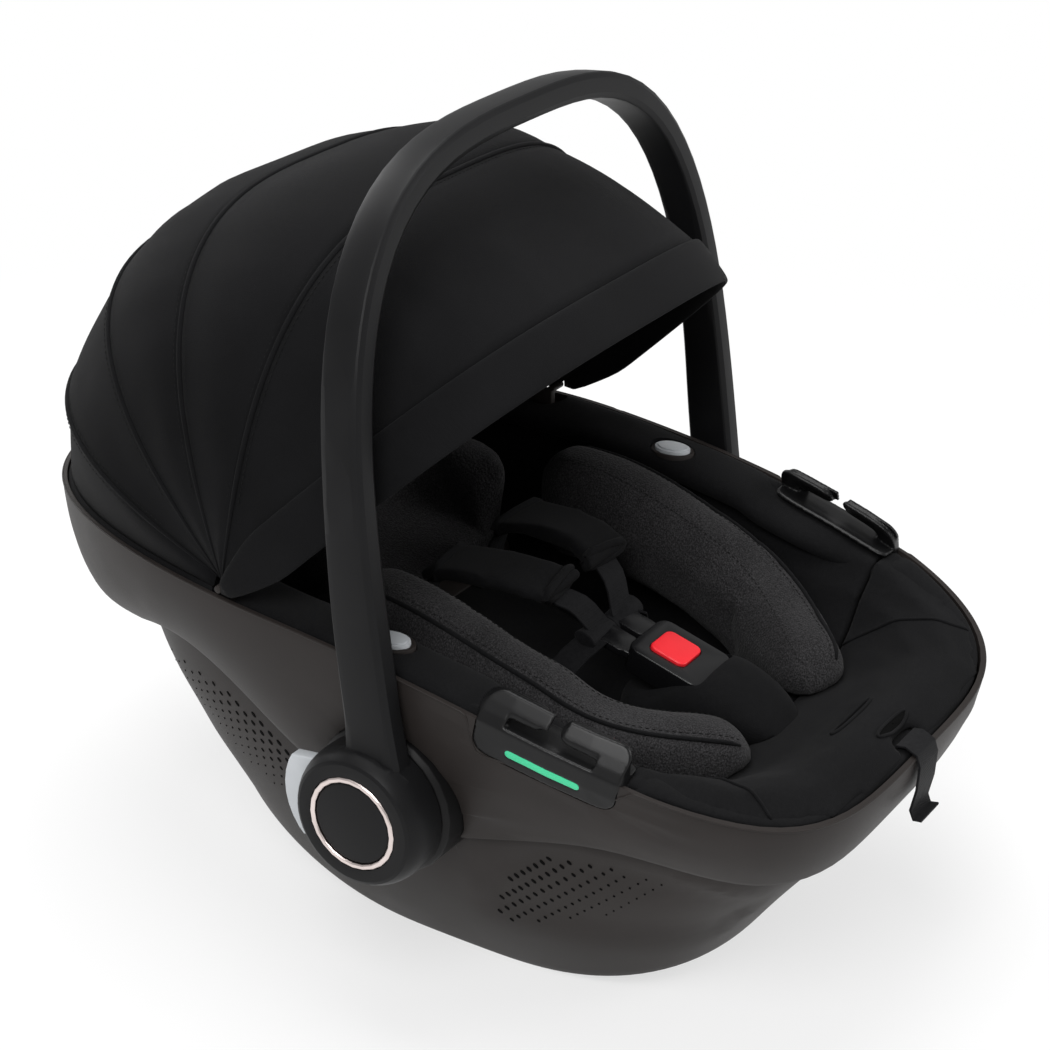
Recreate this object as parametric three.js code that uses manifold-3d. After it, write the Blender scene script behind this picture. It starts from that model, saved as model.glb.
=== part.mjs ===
// Infant car seat: a moulded shell on a rocker base, a carrying handle that swings
// about two hubs, a folding canopy on hinged bows, padded insert and five-point harness.
//
// Lengths are millimetres and angles are degrees. +Z is up, the foot end of the seat is
// towards -Y and the head end towards +Y. X = 0 is the plane of symmetry, and the handle
// turns about an axis along X at Y = 0. "Left" is the -X side, as seen from the foot end.

import * as THREE from 'three';
import { mergeVertices } from 'three/addons/utils/BufferGeometryUtils.js';
import Module from 'manifold-3d';

const wasm = await Module();
wasm.setup();

// ---------------------------------------------------------------- driving dimensions

const GAP = 0.3;                    // clearance left between touching pieces
const RUNNING_GAP = 0.6;            // clearance left between pieces that move past each other
const PLAN_POINTS = 36;             // facets round the plan of the shell, a multiple of 4
const FACET_ROOM = 1.6;             // how far a facet of the shell can lie inside its curve
const BEYOND = 400;                 // further than any piece reaches, for cutting tools

// Outer shell: the rim is the top edge, the step is where the recessed base begins.
// A plan has a half-width, its reach to the foot and head ends, the place where it is
// widest, and the squareness of each end.
const SHELL_WALL = 3;
const RIM = { half: 193, foot: 258.5, head: 367, widest: 71, footPower: 3.97, headPower: 2 };
const RIM_HEIGHT = 235.5;           // at Y = 0
const RIM_SLOPE = 0.154;
const RIM_SAG = 0.0004;             // how fast the rim line falls away from its slope
const WALL_TUCK = 1.7;              // how late the wall turns in towards the step
const STEP = {
  half: 172, foot: RIM.foot - 15.5, head: 278, widest: 45, footPower: 4, headPower: 3,
};
const STEP_HEIGHT = 122;            // beside the hubs and at both ends
const FOOT_CREST_Y = -140;          // the step line rises in one wave at each end
const FOOT_CREST_RISE = 24;
const FOOT_CREST_SPREAD = 130;
const HEAD_CREST_Y = 180;
const HEAD_CREST_RISE = 70;
const HEAD_CREST_SPREAD = 174;

// Rocker base
const BASE_WALL = 3;
const BASE_SET = 8;                 // how far the base is set in under the step
const BASE = { half: 110, foot: 168, head: 225, widest: 20, footPower: 4, headPower: 4 };
const BASE_BULGE = 1.7;             // fullness of the base's side walls
const ROCKER_FLAT = 36;             // half-length of the flat that the seat rests on
const ROCKER_FOOT_RADIUS = 270;
const ROCKER_HEAD_RADIUS = 195;
const BAR_RADIUS = 6;               // steel bars that a vehicle base or a pushchair grips
const BAR_HEIGHT = 36;
const BAR_PLACES = { foot: -98, head: 92 };
const POCKET_HALF = 17;             // half-length of the openings under the bars
const POCKET_X = 62;
const POCKET_HALF_WIDTH = 20;
const POCKET_DEPTH = 50;

// Seat hollow, foam liner and fabric cover
const LINER_EDGE = 5;               // width of the liner's top edge
const LINER_EDGE_SHARE = 0.1;       // place of that edge down the shell's wall
const FLOOR = {
  half: 118, foot: RIM.foot - 62.5, head: 315, widest: 45, footPower: 3.2, headPower: 2.6,
};
const SEAT_LOW_Y = -45;
const SEAT_LOW_HEIGHT = 104;
const FOOT_REST_RISE = 54;          // rise of the floor from the low place to the foot end
const BACK_SLOPE = 0.32;
const LINER_UNDER = 16;             // foam left under the floor of the hollow
const COVER_THICKNESS = 8;
const BEAD_RISE = 0.6;              // of the cover's edge above the rim
const FOOT_COVER_Y = -150;          // seam between the foot cover and the seat cover

// Handle
const HUB_HEIGHT = 147;
const HANDLE_INNER = 194;           // half-distance between the arms
const ARM_THICKNESS = 19;
const BAR_THICKNESS = 17.5;         // radial thickness of the grip at the top
const ARM_WIDTH = 33;
const GRIP_WIDTH = 28;
const HANDLE_FRONT = -29;           // front edge of the arms from the hub axis
const HANDLE_FLARE = 20;            // extra width of the arms where they meet the hubs
const HANDLE_LEAN = 7.4;            // the arch leans towards the head end
const HANDLE_STRAIGHT = 77;         // straight length of the arms above the hub
const HANDLE_REACH = 378;           // from the hub axis to the top of the arch
const HANDLE_ARCH_POWER = 3.08;
const HUB_RADIUS = 45;
const HUB_FACE_RADIUS = 38;
const HUB_FACE = 222;               // half-distance between the outer hub faces
const RING_RADIUS = 30;
const RING_WIDTH = 3.4;
const RING_DEPTH = 4;
const RING_PROUD = 0.8;
const MOUNT_RADIUS = 47.5;
const MOUNT_INNER = 162;
const AXLE_RADIUS = 12;
const AXLE_REACH = 12;              // how far the axle stands into the hub
const RELEASE_OFFSET = 17.5;        // crescent button: its circle is the hub's, moved by this
const RELEASE_THICKNESS = 8;
const RELEASE_TURN = -7;
const RELEASE_TRAVEL = 2.6;
const RELEASE_HALF_HEIGHT = 27;

// Oval release buttons on the rim, each in a bezel
const BUTTON_HALF_X = 9;
const BUTTON_HALF_Y = 13;
const BUTTON_X = 165;
const BUTTON_Y = 10;
const BUTTON_PROUD = 4.4;           // how far the button stands above the rim line
const BUTTON_DEPTH = 14;
const BUTTON_TRAVEL = 3;
const BEZEL_WALL = 3;
const BEZEL_PROUD = 1.6;

// Belt guides: plates let into the rim, with two hooks and a slot for the vehicle's belt
const GUIDE_Y = -111;
const GUIDE_LENGTH = 90;
const GUIDE_THICKNESS = 3.4;
const GUIDE_DROP = 22;              // below the rim
const GUIDE_RISE = 18;              // of the hooks above the rim
const GUIDE_LEAN = 11;              // how far the hooks lean inwards
const GUIDE_CORNER = 9;
const SLOT_LENGTH = 56;
const SLOT_LOW = 1.6;
const SLOT_HIGH = 9.6;
const NOTCH_WIDTH = 9;
const STRIP_LENGTH = 47;
const STRIP_HEIGHT = 5;
const STRIP_DEPTH = 1;
const STRIP_DROP = 16;

// Canopy: bows are planes through one pivot axis, by angle from the head end.
const PIVOT_Y = 117;
const PIVOT_RISE = 6;               // of the pivot axis above the rim
const BOW_ANGLES = [22.8, 49, 74.5, 101.6];
const FRONT_BOW_ANGLE = 136.5;
const CANOPY_POWER = 3.1;
const CANOPY_REACH = 220;           // of the last bow from the pivot axis
const LAYER_PITCH = 2.4;            // each gore runs inside the one ahead of it
const GORE_THICKNESS = 1.6;
const GORE_OVERLAP = 1.5;           // degrees that each gore reaches under the next bow
const REAR_GORE_SET = 6;            // of the first gore's lower edge from the rim
const REAR_GORE_LIFT = 2.5;
const REAR_GORE_BULGE = 12;
const REAR_GORE_STEPS = 5;
const BOW_THICKNESS = 2;
const BOW_WIDTH = 7;
const BAND_HALF_WIDTH = 191;
const BAND_STAND = 10;              // how far the band stands above the last bow
const BAND_BEHIND = 13;
const BAND_AHEAD = 19.5;
const BAND_TAPER = 30;              // reach over which the band widens from its eye
const EYE_RADIUS = 5.4;
const PIN_RADIUS = 2.6;
const CANOPY_MOUNT_X = 165;
const CANOPY_MOUNT_WALL = 5;
const CANOPY_MOUNT_HALF = 9;
const CANOPY_MOUNT_DEPTH = 34;

// Padded insert. The bolsters follow the hips and stand up beside the chest.
const BOLSTER_WIDTH = 49;
const BOLSTER_DEPTH = 78;
const BOLSTER_HEAD_Y = 76;
const BOLSTER_X = 110;
const BOLSTER_FOOT_X = 50;
const BOLSTER_FOOT_Y = -164;
const BOLSTER_TOP = 251;            // height of the bolster at the head end
const BOLSTER_FOOT_TOP = 181;
const PAD_HALF_WIDTH = 74;
const PAD_FOOT_Y = -58;
const PAD_HEAD_Y = 226;
const PAD_THICKNESS = 16;

// Headrest, sliding along the back
const HEADREST_FOOT_Y = 86;
const HEADREST_HEAD_Y = 190;
const HEADREST_HALF_WIDTH = 94;
const HEADREST_WALL = 28;
const HEADREST_HEIGHT = 66;         // of the wings above the board
const BOARD_THICKNESS = 4;
const BOARD_REVEAL = 3;             // of the board beyond the pad

// Harness
const STRAP_WIDTH = 25;
const STRAP_THICKNESS = 1.6;
const SHOULDER_X = 36;
const SHOULDER_PAD_WIDTH = 46;
const SHOULDER_PAD_THICKNESS = 10;
const SHOULDER_PAD_FROM = 0.36;     // shares of the strap's length
const SHOULDER_PAD_TO = 0.8;
const SHOULDER_STEPS = 18;
const CHEST_RISE = 28;              // of the straps above the higher of their two ends
const BUCKLE_Y = -92;
const BUCKLE_HEIGHT = 186;
const BUCKLE_TILT = 16;
const BUCKLE_HALF_WIDTH = 23;
const BUCKLE_HALF_LENGTH = 27;
const BUCKLE_THICKNESS = 17;
const BUCKLE_BUTTON_HALF = 13;
const BUCKLE_BUTTON_DEPTH = 5;
const BUCKLE_BUTTON_PROUD = 1.6;
const BUCKLE_BUTTON_TRAVEL = 3;
const TONGUE_LENGTH = 34;
const TONGUE_WIDTH = 20;
const TONGUE_THICKNESS = 5;
const TONGUE_SOCKET = 9;            // how far a tongue goes into the buckle
const LAP_RUN = 18;                 // of the lap straps towards the head, and their drop
const LAP_DROP = 48;
const CROTCH_STRAP_Y = BUCKLE_Y - 8;
const CROTCH_PAD_HALF = 36;
const CROTCH_PAD_HEAD_Y = -64;
const CROTCH_PAD_FOOT_Y = -156;
const ADJUSTER_Y = 54.5 - RIM.foot;
const ADJUSTER_HALF_WIDTH = 15;
const ADJUSTER_HALF_LENGTH = 5;
const ADJUSTER_DEPTH = 16;
const ADJUSTER_TRAVEL = 3;
const SLIT_HALF_WIDTH = 20;
const SLIT_HALF_LENGTH = 3;
const PULL_STRAP_HANG = 36;

// ---------------------------------------------------------------- small helpers

const radians = THREE.MathUtils.degToRad;
const mix = THREE.MathUtils.lerp;
const smooth = THREE.MathUtils.smoothstep;

// One wave of a cosine squared: 1 at its middle and 0 from the spread outwards.
const wave = (distance, spread) => (
  Math.cos((Math.PI / 2) * Math.min(1, Math.abs(distance) / spread)) ** 2
);

// Turns the faces outwards if the enclosed volume comes out negative.
function outward(positions, indices) {
  const geometry = new THREE.BufferGeometry();
  geometry.setAttribute('position', new THREE.Float32BufferAttribute(positions, 3));
  const corner = (i) => new THREE.Vector3().fromArray(positions, 3 * i);
  let volume = 0;
  for (let t = 0; t < indices.length; t += 3) {
    volume += corner(indices[t]).dot(corner(indices[t + 1]).cross(corner(indices[t + 2])));
  }
  geometry.setIndex(volume < 0 ? [...indices].reverse() : indices);
  return geometry;
}

const middleOf = (row) => [0, 1, 2].map((axis) => (
  row.reduce((sum, point) => sum + point[axis], 0) / row.length
));

// A closed body from rows of points. Each row is a closed loop of as many points.
// The first and last rows are capped by fans, unless the rows themselves close up.
// The first rows can have their quads split the other way, so that a skin drawn upwards
// lies flat against one that was drawn downwards. A folded row runs out and back again,
// and its cap is a strip between its two halves.
function loft(rows, { closesUp = false, turned = 0, folded = false } = {}) {
  const size = rows[0].length;
  const positions = rows.flat(2);
  const indices = [];
  const last = closesUp ? rows.length : rows.length - 1;
  for (let k = 0; k < last; k += 1) {
    const next = (k + 1) % rows.length;
    for (let i = 0; i < size; i += 1) {
      const j = (i + 1) % size;
      const [a, b, c, d] = [k * size + i, k * size + j, next * size + j, next * size + i];
      indices.push(...(k < turned ? [a, b, d, b, c, d] : [a, b, c, a, c, d]));
    }
  }
  if (closesUp) return outward(positions, indices);
  for (const [row, flipped] of [[0, true], [rows.length - 1, false]]) {
    const cap = folded ? stripCap(row, size) : fanCap(positions, rows[row], row);
    indices.push(...(flipped ? cap.reverse() : cap));
  }
  return outward(positions, indices);
}

function fanCap(positions, row, index) {
  const middle = positions.length / 3;
  positions.push(...middleOf(row));
  const first = index * row.length;
  return row.flatMap((_, i) => [middle, first + i, first + (i + 1) % row.length]);
}

function stripCap(index, size) {
  const first = index * size;
  const cap = [];
  for (let i = 0; i < size / 2 - 1; i += 1) {
    const [a, b, c, d] = [first + i, first + i + 1, first + size - 2 - i, first + size - 1 - i];
    cap.push(a, b, c, a, c, d);
  }
  return cap;
}

// A slab between two grids of points, closed along its four edges.
function slab(outer, inner) {
  return loft(outer.map((row, k) => [...row, ...[...inner[k]].reverse()]), { folded: true });
}

function toSolid(geometry) {
  const bare = geometry.clone();
  bare.deleteAttribute('normal');
  bare.deleteAttribute('uv');
  const merged = mergeVertices(bare, 1e-4);
  return new wasm.Manifold(new wasm.Mesh({
    numProp: 3,
    vertProperties: new Float32Array(merged.attributes.position.array),
    triVerts: new Uint32Array(merged.index.array),
  }));
}

function toGeometry(solid) {
  const mesh = solid.getMesh();
  const geometry = new THREE.BufferGeometry();
  geometry.setAttribute('position', new THREE.BufferAttribute(mesh.vertProperties, 3));
  geometry.setIndex(new THREE.BufferAttribute(mesh.triVerts, 1));
  return geometry;
}

const cut = (geometry, ...tools) => toGeometry(
  tools.reduce((solid, tool) => solid.subtract(toSolid(tool)), toSolid(geometry)),
);
const join = (geometry, ...others) => toGeometry(
  others.reduce((solid, other) => solid.add(toSolid(other)), toSolid(geometry)),
);
const keep = (geometry, ...tools) => toGeometry(
  tools.reduce((solid, tool) => solid.intersect(toSolid(tool)), toSolid(geometry)),
);

function mirrored(geometry) {
  const copy = geometry.index ? geometry.clone() : mergeVertices(geometry);
  copy.scale(-1, 1, 1);
  copy.setIndex([...copy.index.array].reverse());
  return copy;
}

const bothSides = (geometry) => [geometry, mirrored(geometry)];

// A box from its low corner to its high corner.
function block(low, high) {
  const size = high.map((value, axis) => value - low[axis]);
  const box = new THREE.BoxGeometry(...size);
  box.translate(...low.map((value, axis) => value + size[axis] / 2));
  return box;
}

// A round bar along X.
function barAlongX(radius, from, to, y, z, sides = 20) {
  const bar = new THREE.CylinderGeometry(radius, radius, to - from, sides);
  bar.rotateZ(Math.PI / 2);
  bar.translate((from + to) / 2, y, z);
  return bar;
}

// A solid of revolution about an axis along X through Y = 0 at hub height.
// The profile lists [radius, x] and closes on the axis or on itself.
function turnedAboutHub(profile, sides = 24) {
  const lathe = new THREE.LatheGeometry(profile.map(([r, x]) => new THREE.Vector2(r, x)), sides);
  lathe.rotateZ(-Math.PI / 2);
  lathe.translate(0, 0, HUB_HEIGHT);
  return lathe;
}

// A shape drawn in (Y, Z), as thick as the range of X.
function prismAlongX(shape, from, to) {
  const body = new THREE.ExtrudeGeometry(shape, {
    depth: to - from, bevelEnabled: false, curveSegments: 4,
  });
  body.rotateY(Math.PI / 2);
  body.rotateX(Math.PI / 2);
  body.translate(from, 0, 0);
  return body;
}

function roundedRectangle(low, high, radius) {
  const shape = new THREE.Shape();
  shape.absarc(high[0] - radius, high[1] - radius, radius, 0, Math.PI / 2);
  shape.absarc(low[0] + radius, high[1] - radius, radius, Math.PI / 2, Math.PI);
  shape.absarc(low[0] + radius, low[1] + radius, radius, Math.PI, 1.5 * Math.PI);
  shape.absarc(high[0] - radius, low[1] + radius, radius, 1.5 * Math.PI, 2 * Math.PI);
  return shape;
}

// Points of a quarter of a superellipse from (a, 0) to (0, b), evenly spaced along it.
function quarterCurve(a, b, power, steps) {
  const fine = 96;
  const points = [];
  for (let i = 0; i <= fine; i += 1) {
    const angle = (Math.PI / 2) * (i / fine);
    const x = i === fine ? 0 : a * Math.cos(angle) ** (2 / power);
    points.push(new THREE.Vector2(x, b * Math.sin(angle) ** (2 / power)));
  }
  const lengths = [0];
  for (let i = 1; i <= fine; i += 1) {
    lengths.push(lengths[i - 1] + points[i].distanceTo(points[i - 1]));
  }
  const even = [];
  let k = 1;
  for (let i = 0; i <= steps; i += 1) {
    const wanted = (lengths[fine] * i) / steps;
    while (k < fine && lengths[k] < wanted) k += 1;
    const share = (wanted - lengths[k - 1]) / (lengths[k] - lengths[k - 1]);
    even.push(points[k - 1].clone().lerp(points[k], share));
  }
  return even;
}

// ---------------------------------------------------------------- plans and heights

// An outline moved inwards by the same distance along each of its edges.
function movedIn(outline, by) {
  const size = outline.length;
  const inwards = (a, b) => {
    const along = new THREE.Vector2(b[0] - a[0], b[1] - a[1]).normalize();
    return new THREE.Vector2(-along.y, along.x);
  };
  return outline.map((point, i) => {
    const before = inwards(outline[(i + size - 1) % size], point);
    const after = inwards(point, outline[(i + 1) % size]);
    const share = by / (1 + before.dot(after));
    return [point[0] + (before.x + after.x) * share, point[1] + (before.y + after.y) * share];
  });
}

// A closed plan outline as [x, y] points, anticlockwise from the widest place on the right,
// moved inwards by a distance.
function planOutline(plan, by = 0) {
  const steps = PLAN_POINTS / 4;
  const head = quarterCurve(plan.half, plan.head - plan.widest, plan.headPower, steps);
  const foot = quarterCurve(plan.half, plan.foot + plan.widest, plan.footPower, steps);
  const outline = [];
  for (let i = 0; i < steps; i += 1) outline.push([head[i].x, plan.widest + head[i].y]);
  for (let i = steps; i > 0; i -= 1) outline.push([-head[i].x, plan.widest + head[i].y]);
  for (let i = 0; i < steps; i += 1) outline.push([-foot[i].x, plan.widest - foot[i].y]);
  for (let i = steps; i > 0; i -= 1) outline.push([foot[i].x, plan.widest - foot[i].y]);
  return movedIn(outline, by);
}

// Half-width of a plan at a place along the seat.
function halfWidthAt(plan, y) {
  const towardsHead = y > plan.widest;
  const reach = towardsHead ? plan.head - plan.widest : plan.foot + plan.widest;
  const power = towardsHead ? plan.headPower : plan.footPower;
  const share = Math.min(1, Math.abs(y - plan.widest) / reach);
  return plan.half * (1 - share ** power) ** (1 / power);
}

const inset = (plan, by) => (
  { ...plan, half: plan.half - by, foot: plan.foot - by, head: plan.head - by }
);
const between = (a, b, t) => Object.fromEntries(
  Object.keys(a).map((key) => [key, mix(a[key], b[key], t)]),
);
const raised = (outline, height) => outline.map(([x, y]) => [x, y, height(y)]);
const shrunk = (outline, share, middle) => (
  outline.map(([x, y]) => [x * share, middle + (y - middle) * share])
);

const rimHeight = (y) => RIM_HEIGHT + RIM_SLOPE * y - RIM_SAG * y * y;
const PIVOT_HEIGHT = rimHeight(PIVOT_Y) + PIVOT_RISE;
const stepHeight = (y) => (
  STEP_HEIGHT
  + FOOT_CREST_RISE * wave(y - FOOT_CREST_Y, FOOT_CREST_SPREAD)
  + HEAD_CREST_RISE * wave(y - HEAD_CREST_Y, HEAD_CREST_SPREAD)
);

function rockerHeight(y) {
  const beyond = Math.max(0, Math.abs(y) - ROCKER_FLAT);
  return (beyond * beyond) / (2 * (y < 0 ? ROCKER_FOOT_RADIUS : ROCKER_HEAD_RADIUS));
}

function floorHeight(y) {
  const back = (y - SEAT_LOW_Y) * BACK_SLOPE;
  const foot = FOOT_REST_RISE * (SEAT_LOW_Y - y) / (FLOOR.foot + SEAT_LOW_Y);
  return SEAT_LOW_HEIGHT + Math.max(back, foot, 0);
}

// The shell's wall stands steep at the rim and turns in towards the step.
const shellPlan = (t) => between(RIM, STEP, t ** WALL_TUCK);
const shellHeight = (t, lift = 0) => (y) => mix(rimHeight(y), stepHeight(y), t) + lift;

// Half-width of the shell's outer wall at a place along the seat and a height.
function shellHalfWidthAt(y, z) {
  const t = (rimHeight(y) - z) / (rimHeight(y) - stepHeight(y));
  return halfWidthAt(shellPlan(Math.min(1, Math.max(0, t))), y);
}

const BASE_TOP = inset(STEP, BASE_SET);
const basePlan = (t) => between(BASE_TOP, BASE, t ** BASE_BULGE);

// Half-width of the base's outer wall at a place along the seat and a height.
function baseHalfWidthAt(y, z) {
  const t = (stepHeight(y) - z) / (stepHeight(y) - rockerHeight(y));
  return halfWidthAt(basePlan(Math.min(1, Math.max(0, t))), y);
}

// ---------------------------------------------------------------- shell and base

const hubHole = () => bothSides(
  barAlongX(MOUNT_RADIUS + GAP, MOUNT_INNER - 1, BEYOND, 0, HUB_HEIGHT, 24),
);

function outerShell() {
  const levels = [0, LINER_EDGE_SHARE, 0.3, 0.55, 0.78, 1];
  const outside = levels.map((t) => raised(planOutline(shellPlan(t)), shellHeight(t)));
  // The flange under the step passes over the base's wall and ends just inside it.
  const under = [0, BASE_WALL, BASE_WALL + 1].map((by) => (
    raised(planOutline(BASE_TOP, by), shellHeight(1))
  ));
  const over = raised(planOutline(BASE_TOP, BASE_WALL + 1), shellHeight(1, SHELL_WALL));
  const inside = levels.map((t) => (
    raised(planOutline(shellPlan(t), SHELL_WALL), shellHeight(t, SHELL_WALL * t))
  )).reverse();
  const wall = loft([...outside, ...under, over, ...inside], { closesUp: true });
  return cut(wall, ...hubHole(), ...bothSides(guideNotch()));
}

function baseRows(wall) {
  const rows = [0, 0.3, 0.6, 0.85].map((t) => raised(
    planOutline(basePlan(t), wall),
    (y) => mix(stepHeight(y) - GAP, rockerHeight(y), t) + wall * t,
  ));
  const bottom = planOutline(BASE, wall);
  for (const share of [1, 0.6, 0.3, 0.12]) {
    rows.push(raised(shrunk(bottom, share, 0), (y) => rockerHeight(y) + wall));
  }
  return rows;
}

function rockerBase() {
  const tub = loft([...baseRows(0).reverse(), ...baseRows(BASE_WALL)]);
  const pockets = Object.values(BAR_PLACES).flatMap((y) => bothSides(block(
    [POCKET_X - POCKET_HALF_WIDTH, y - POCKET_HALF, -5],
    [POCKET_X + POCKET_HALF_WIDTH, y + POCKET_HALF, POCKET_DEPTH],
  )));
  return cut(tub, ...pockets, ...hubHole());
}

// A bar reaches from wall to wall inside the base.
function lockingBar(y) {
  const reach = baseHalfWidthAt(Math.sign(y) * (Math.abs(y) + BAR_RADIUS), BAR_HEIGHT - BAR_RADIUS)
    - BASE_WALL - 3 * GAP;
  return barAlongX(BAR_RADIUS, -reach, reach, y, BAR_HEIGHT, 16);
}

// ---------------------------------------------------------------- liner and cover

const LINER_OUTER = SHELL_WALL + GAP;
const HOLLOW_TOP = inset(shellPlan(LINER_EDGE_SHARE), LINER_OUTER + LINER_EDGE);
const linerEdgeHeight = shellHeight(LINER_EDGE_SHARE, LINER_OUTER * LINER_EDGE_SHARE);

// Rows of points over the hollow, from its edge down the sides and across the floor.
function hollowRows() {
  const rows = [0, 0.22, 0.46, 0.7, 1].map((s) => raised(
    planOutline(between(HOLLOW_TOP, FLOOR, s)),
    (y) => mix(linerEdgeHeight(y), floorHeight(y), smooth(s ** 1.2, 0, 1)),
  ));
  const floor = planOutline(FLOOR);
  for (const share of [0.68, 0.36, 0.08]) {
    rows.push(raised(shrunk(floor, share, SEAT_LOW_Y), floorHeight));
  }
  return rows;
}

const HOLLOW = hollowRows();

// The hollow's rows moved by a distance along the surface normal, into the hollow.
function hollowOffset(distance) {
  const size = PLAN_POINTS;
  const at = (k, i) => new THREE.Vector3().fromArray(
    HOLLOW[Math.min(Math.max(k, 0), HOLLOW.length - 1)][(i + size) % size],
  );
  return HOLLOW.map((row, k) => row.map((point, i) => {
    const along = at(k, i + 1).sub(at(k, i - 1));
    const down = at(k + 1, i).sub(at(k - 1, i));
    const normal = along.cross(down).normalize();
    return new THREE.Vector3().fromArray(point).addScaledVector(normal, distance).toArray();
  }));
}

// The space inside the cover, for whatever lies in the seat.
function seatSpace(clearance = GAP) {
  const rows = hollowOffset(GAP + COVER_THICKNESS + clearance);
  const above = rows[0].map(([x, y, z]) => [x, y, z + BEYOND]);
  return loft([above, ...rows]);
}

const canopyPocket = () => block(
  [CANOPY_MOUNT_X - 1, PIVOT_Y - CANOPY_MOUNT_HALF - 2, PIVOT_HEIGHT - CANOPY_MOUNT_DEPTH - 1],
  [halfWidthAt(RIM, PIVOT_Y) - LINER_OUTER + 0.1, PIVOT_Y + CANOPY_MOUNT_HALF + 2, BEYOND],
);

const adjusterPocket = (grow, low) => block(
  [-ADJUSTER_HALF_WIDTH - grow, ADJUSTER_Y - ADJUSTER_HALF_LENGTH - grow, low],
  [ADJUSTER_HALF_WIDTH + grow, ADJUSTER_Y + ADJUSTER_HALF_LENGTH + grow, BEYOND],
);

function foamLiner() {
  const levels = [1, 0.78, 0.55, 0.3, LINER_EDGE_SHARE];
  const outside = levels.map((t) => raised(
    planOutline(shellPlan(t), LINER_OUTER),
    shellHeight(t, LINER_OUTER * t),
  ));
  const throat = raised(planOutline(BASE_TOP, BASE_WALL + 2), shellHeight(1, LINER_OUTER));
  const under = (y) => Math.min(stepHeight(y) - 6, floorHeight(y) - LINER_UNDER);
  const bottom = planOutline(basePlan(0.55), BASE_WALL + 2);
  const bottomRows = [0.1, 0.4, 0.7, 1].map((share) => (
    raised(shrunk(bottom, share, SEAT_LOW_Y), under)
  ));
  const foam = loft([...bottomRows, throat, ...outside, ...HOLLOW]);
  const floor = floorHeight(ADJUSTER_Y) - ADJUSTER_DEPTH - ADJUSTER_TRAVEL;
  return cut(
    foam,
    ...hubHole(),
    ...bothSides(ovalPost(BEZEL_WALL + GAP, bezelBottom() - GAP, BEYOND)),
    ...bothSides(canopyPocket()),
    ...bothSides(guideSeat()),
    adjusterPocket(GAP, floor - 2),
  );
}

// The cover lies on the liner and ends in a bead between the liner and the shell's rim.
function coverSkin() {
  const lowBead = raised(
    planOutline(shellPlan(LINER_EDGE_SHARE), LINER_OUTER),
    (y) => linerEdgeHeight(y) + GAP,
  );
  const highBead = raised(planOutline(RIM, LINER_OUTER), (y) => rimHeight(y) - 1);
  const crown = raised(planOutline(RIM, LINER_OUTER + 3), (y) => rimHeight(y) + BEAD_RISE);
  const lining = hollowOffset(GAP);
  const firstRow = lining[0].map(([x, y, z]) => [x, y, z + GAP]);
  const under = [highBead, lowBead, firstRow, ...lining.slice(1)];
  const visible = hollowOffset(GAP + COVER_THICKNESS);
  const brow = visible[0].map(([x, y]) => [x, y, rimHeight(y) + BEAD_RISE - 0.4]);
  const over = [highBead, crown, brow, ...visible.slice(1)];
  const skin = loft([...under.reverse(), ...over.slice(1)], { turned: under.length - 1 });
  return cut(
    skin,
    ...bothSides(ovalPost(BEZEL_WALL + GAP, bezelBottom() - GAP, BEYOND)),
    ...bothSides(canopyPocket()),
    ...bothSides(guideSeat()),
  );
}

const headSideOf = (y) => block([-BEYOND, y + GAP / 2, -BEYOND], [BEYOND, BEYOND, BEYOND]);
const footSideOf = (y) => block([-BEYOND, -BEYOND, -BEYOND], [BEYOND, y - GAP / 2, BEYOND]);

function footCover(skin) {
  const slit = block(
    [-SLIT_HALF_WIDTH, ADJUSTER_Y - SLIT_HALF_LENGTH, 0],
    [SLIT_HALF_WIDTH, ADJUSTER_Y + SLIT_HALF_LENGTH, BEYOND],
  );
  return cut(keep(skin, footSideOf(FOOT_COVER_Y)), slit, pullStrapSlot());
}

// ---------------------------------------------------------------- handle

// Places of the arch's outer edge: half-width and distance from the hub axis.
function handlePath() {
  const path = [];
  const straight = 4;
  const half = HANDLE_INNER + ARM_THICKNESS;
  for (let i = 0; i < straight; i += 1) {
    path.push(new THREE.Vector2(half, (HANDLE_STRAIGHT * i) / straight));
  }
  const curve = quarterCurve(half, HANDLE_REACH - HANDLE_STRAIGHT, HANDLE_ARCH_POWER, 13);
  for (const point of curve) path.push(new THREE.Vector2(point.x, point.y + HANDLE_STRAIGHT));
  const other = path.slice(0, -1).reverse().map((p) => new THREE.Vector2(-p.x, p.y));
  return [...path, ...other];
}

// One cross-section of the handle: a rounded rectangle about its middle.
function handleSection(thickness, width) {
  const sides = 12;
  return Array.from({ length: sides }, (_, i) => {
    const angle = (2 * Math.PI * (i + 0.5)) / sides;
    const c = Math.cos(angle);
    const s = Math.sin(angle);
    return [
      (thickness / 2) * Math.sign(c) * Math.abs(c) ** 0.5,
      (width / 2) * Math.sign(s) * Math.abs(s) ** 0.42,
    ];
  });
}

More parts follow.
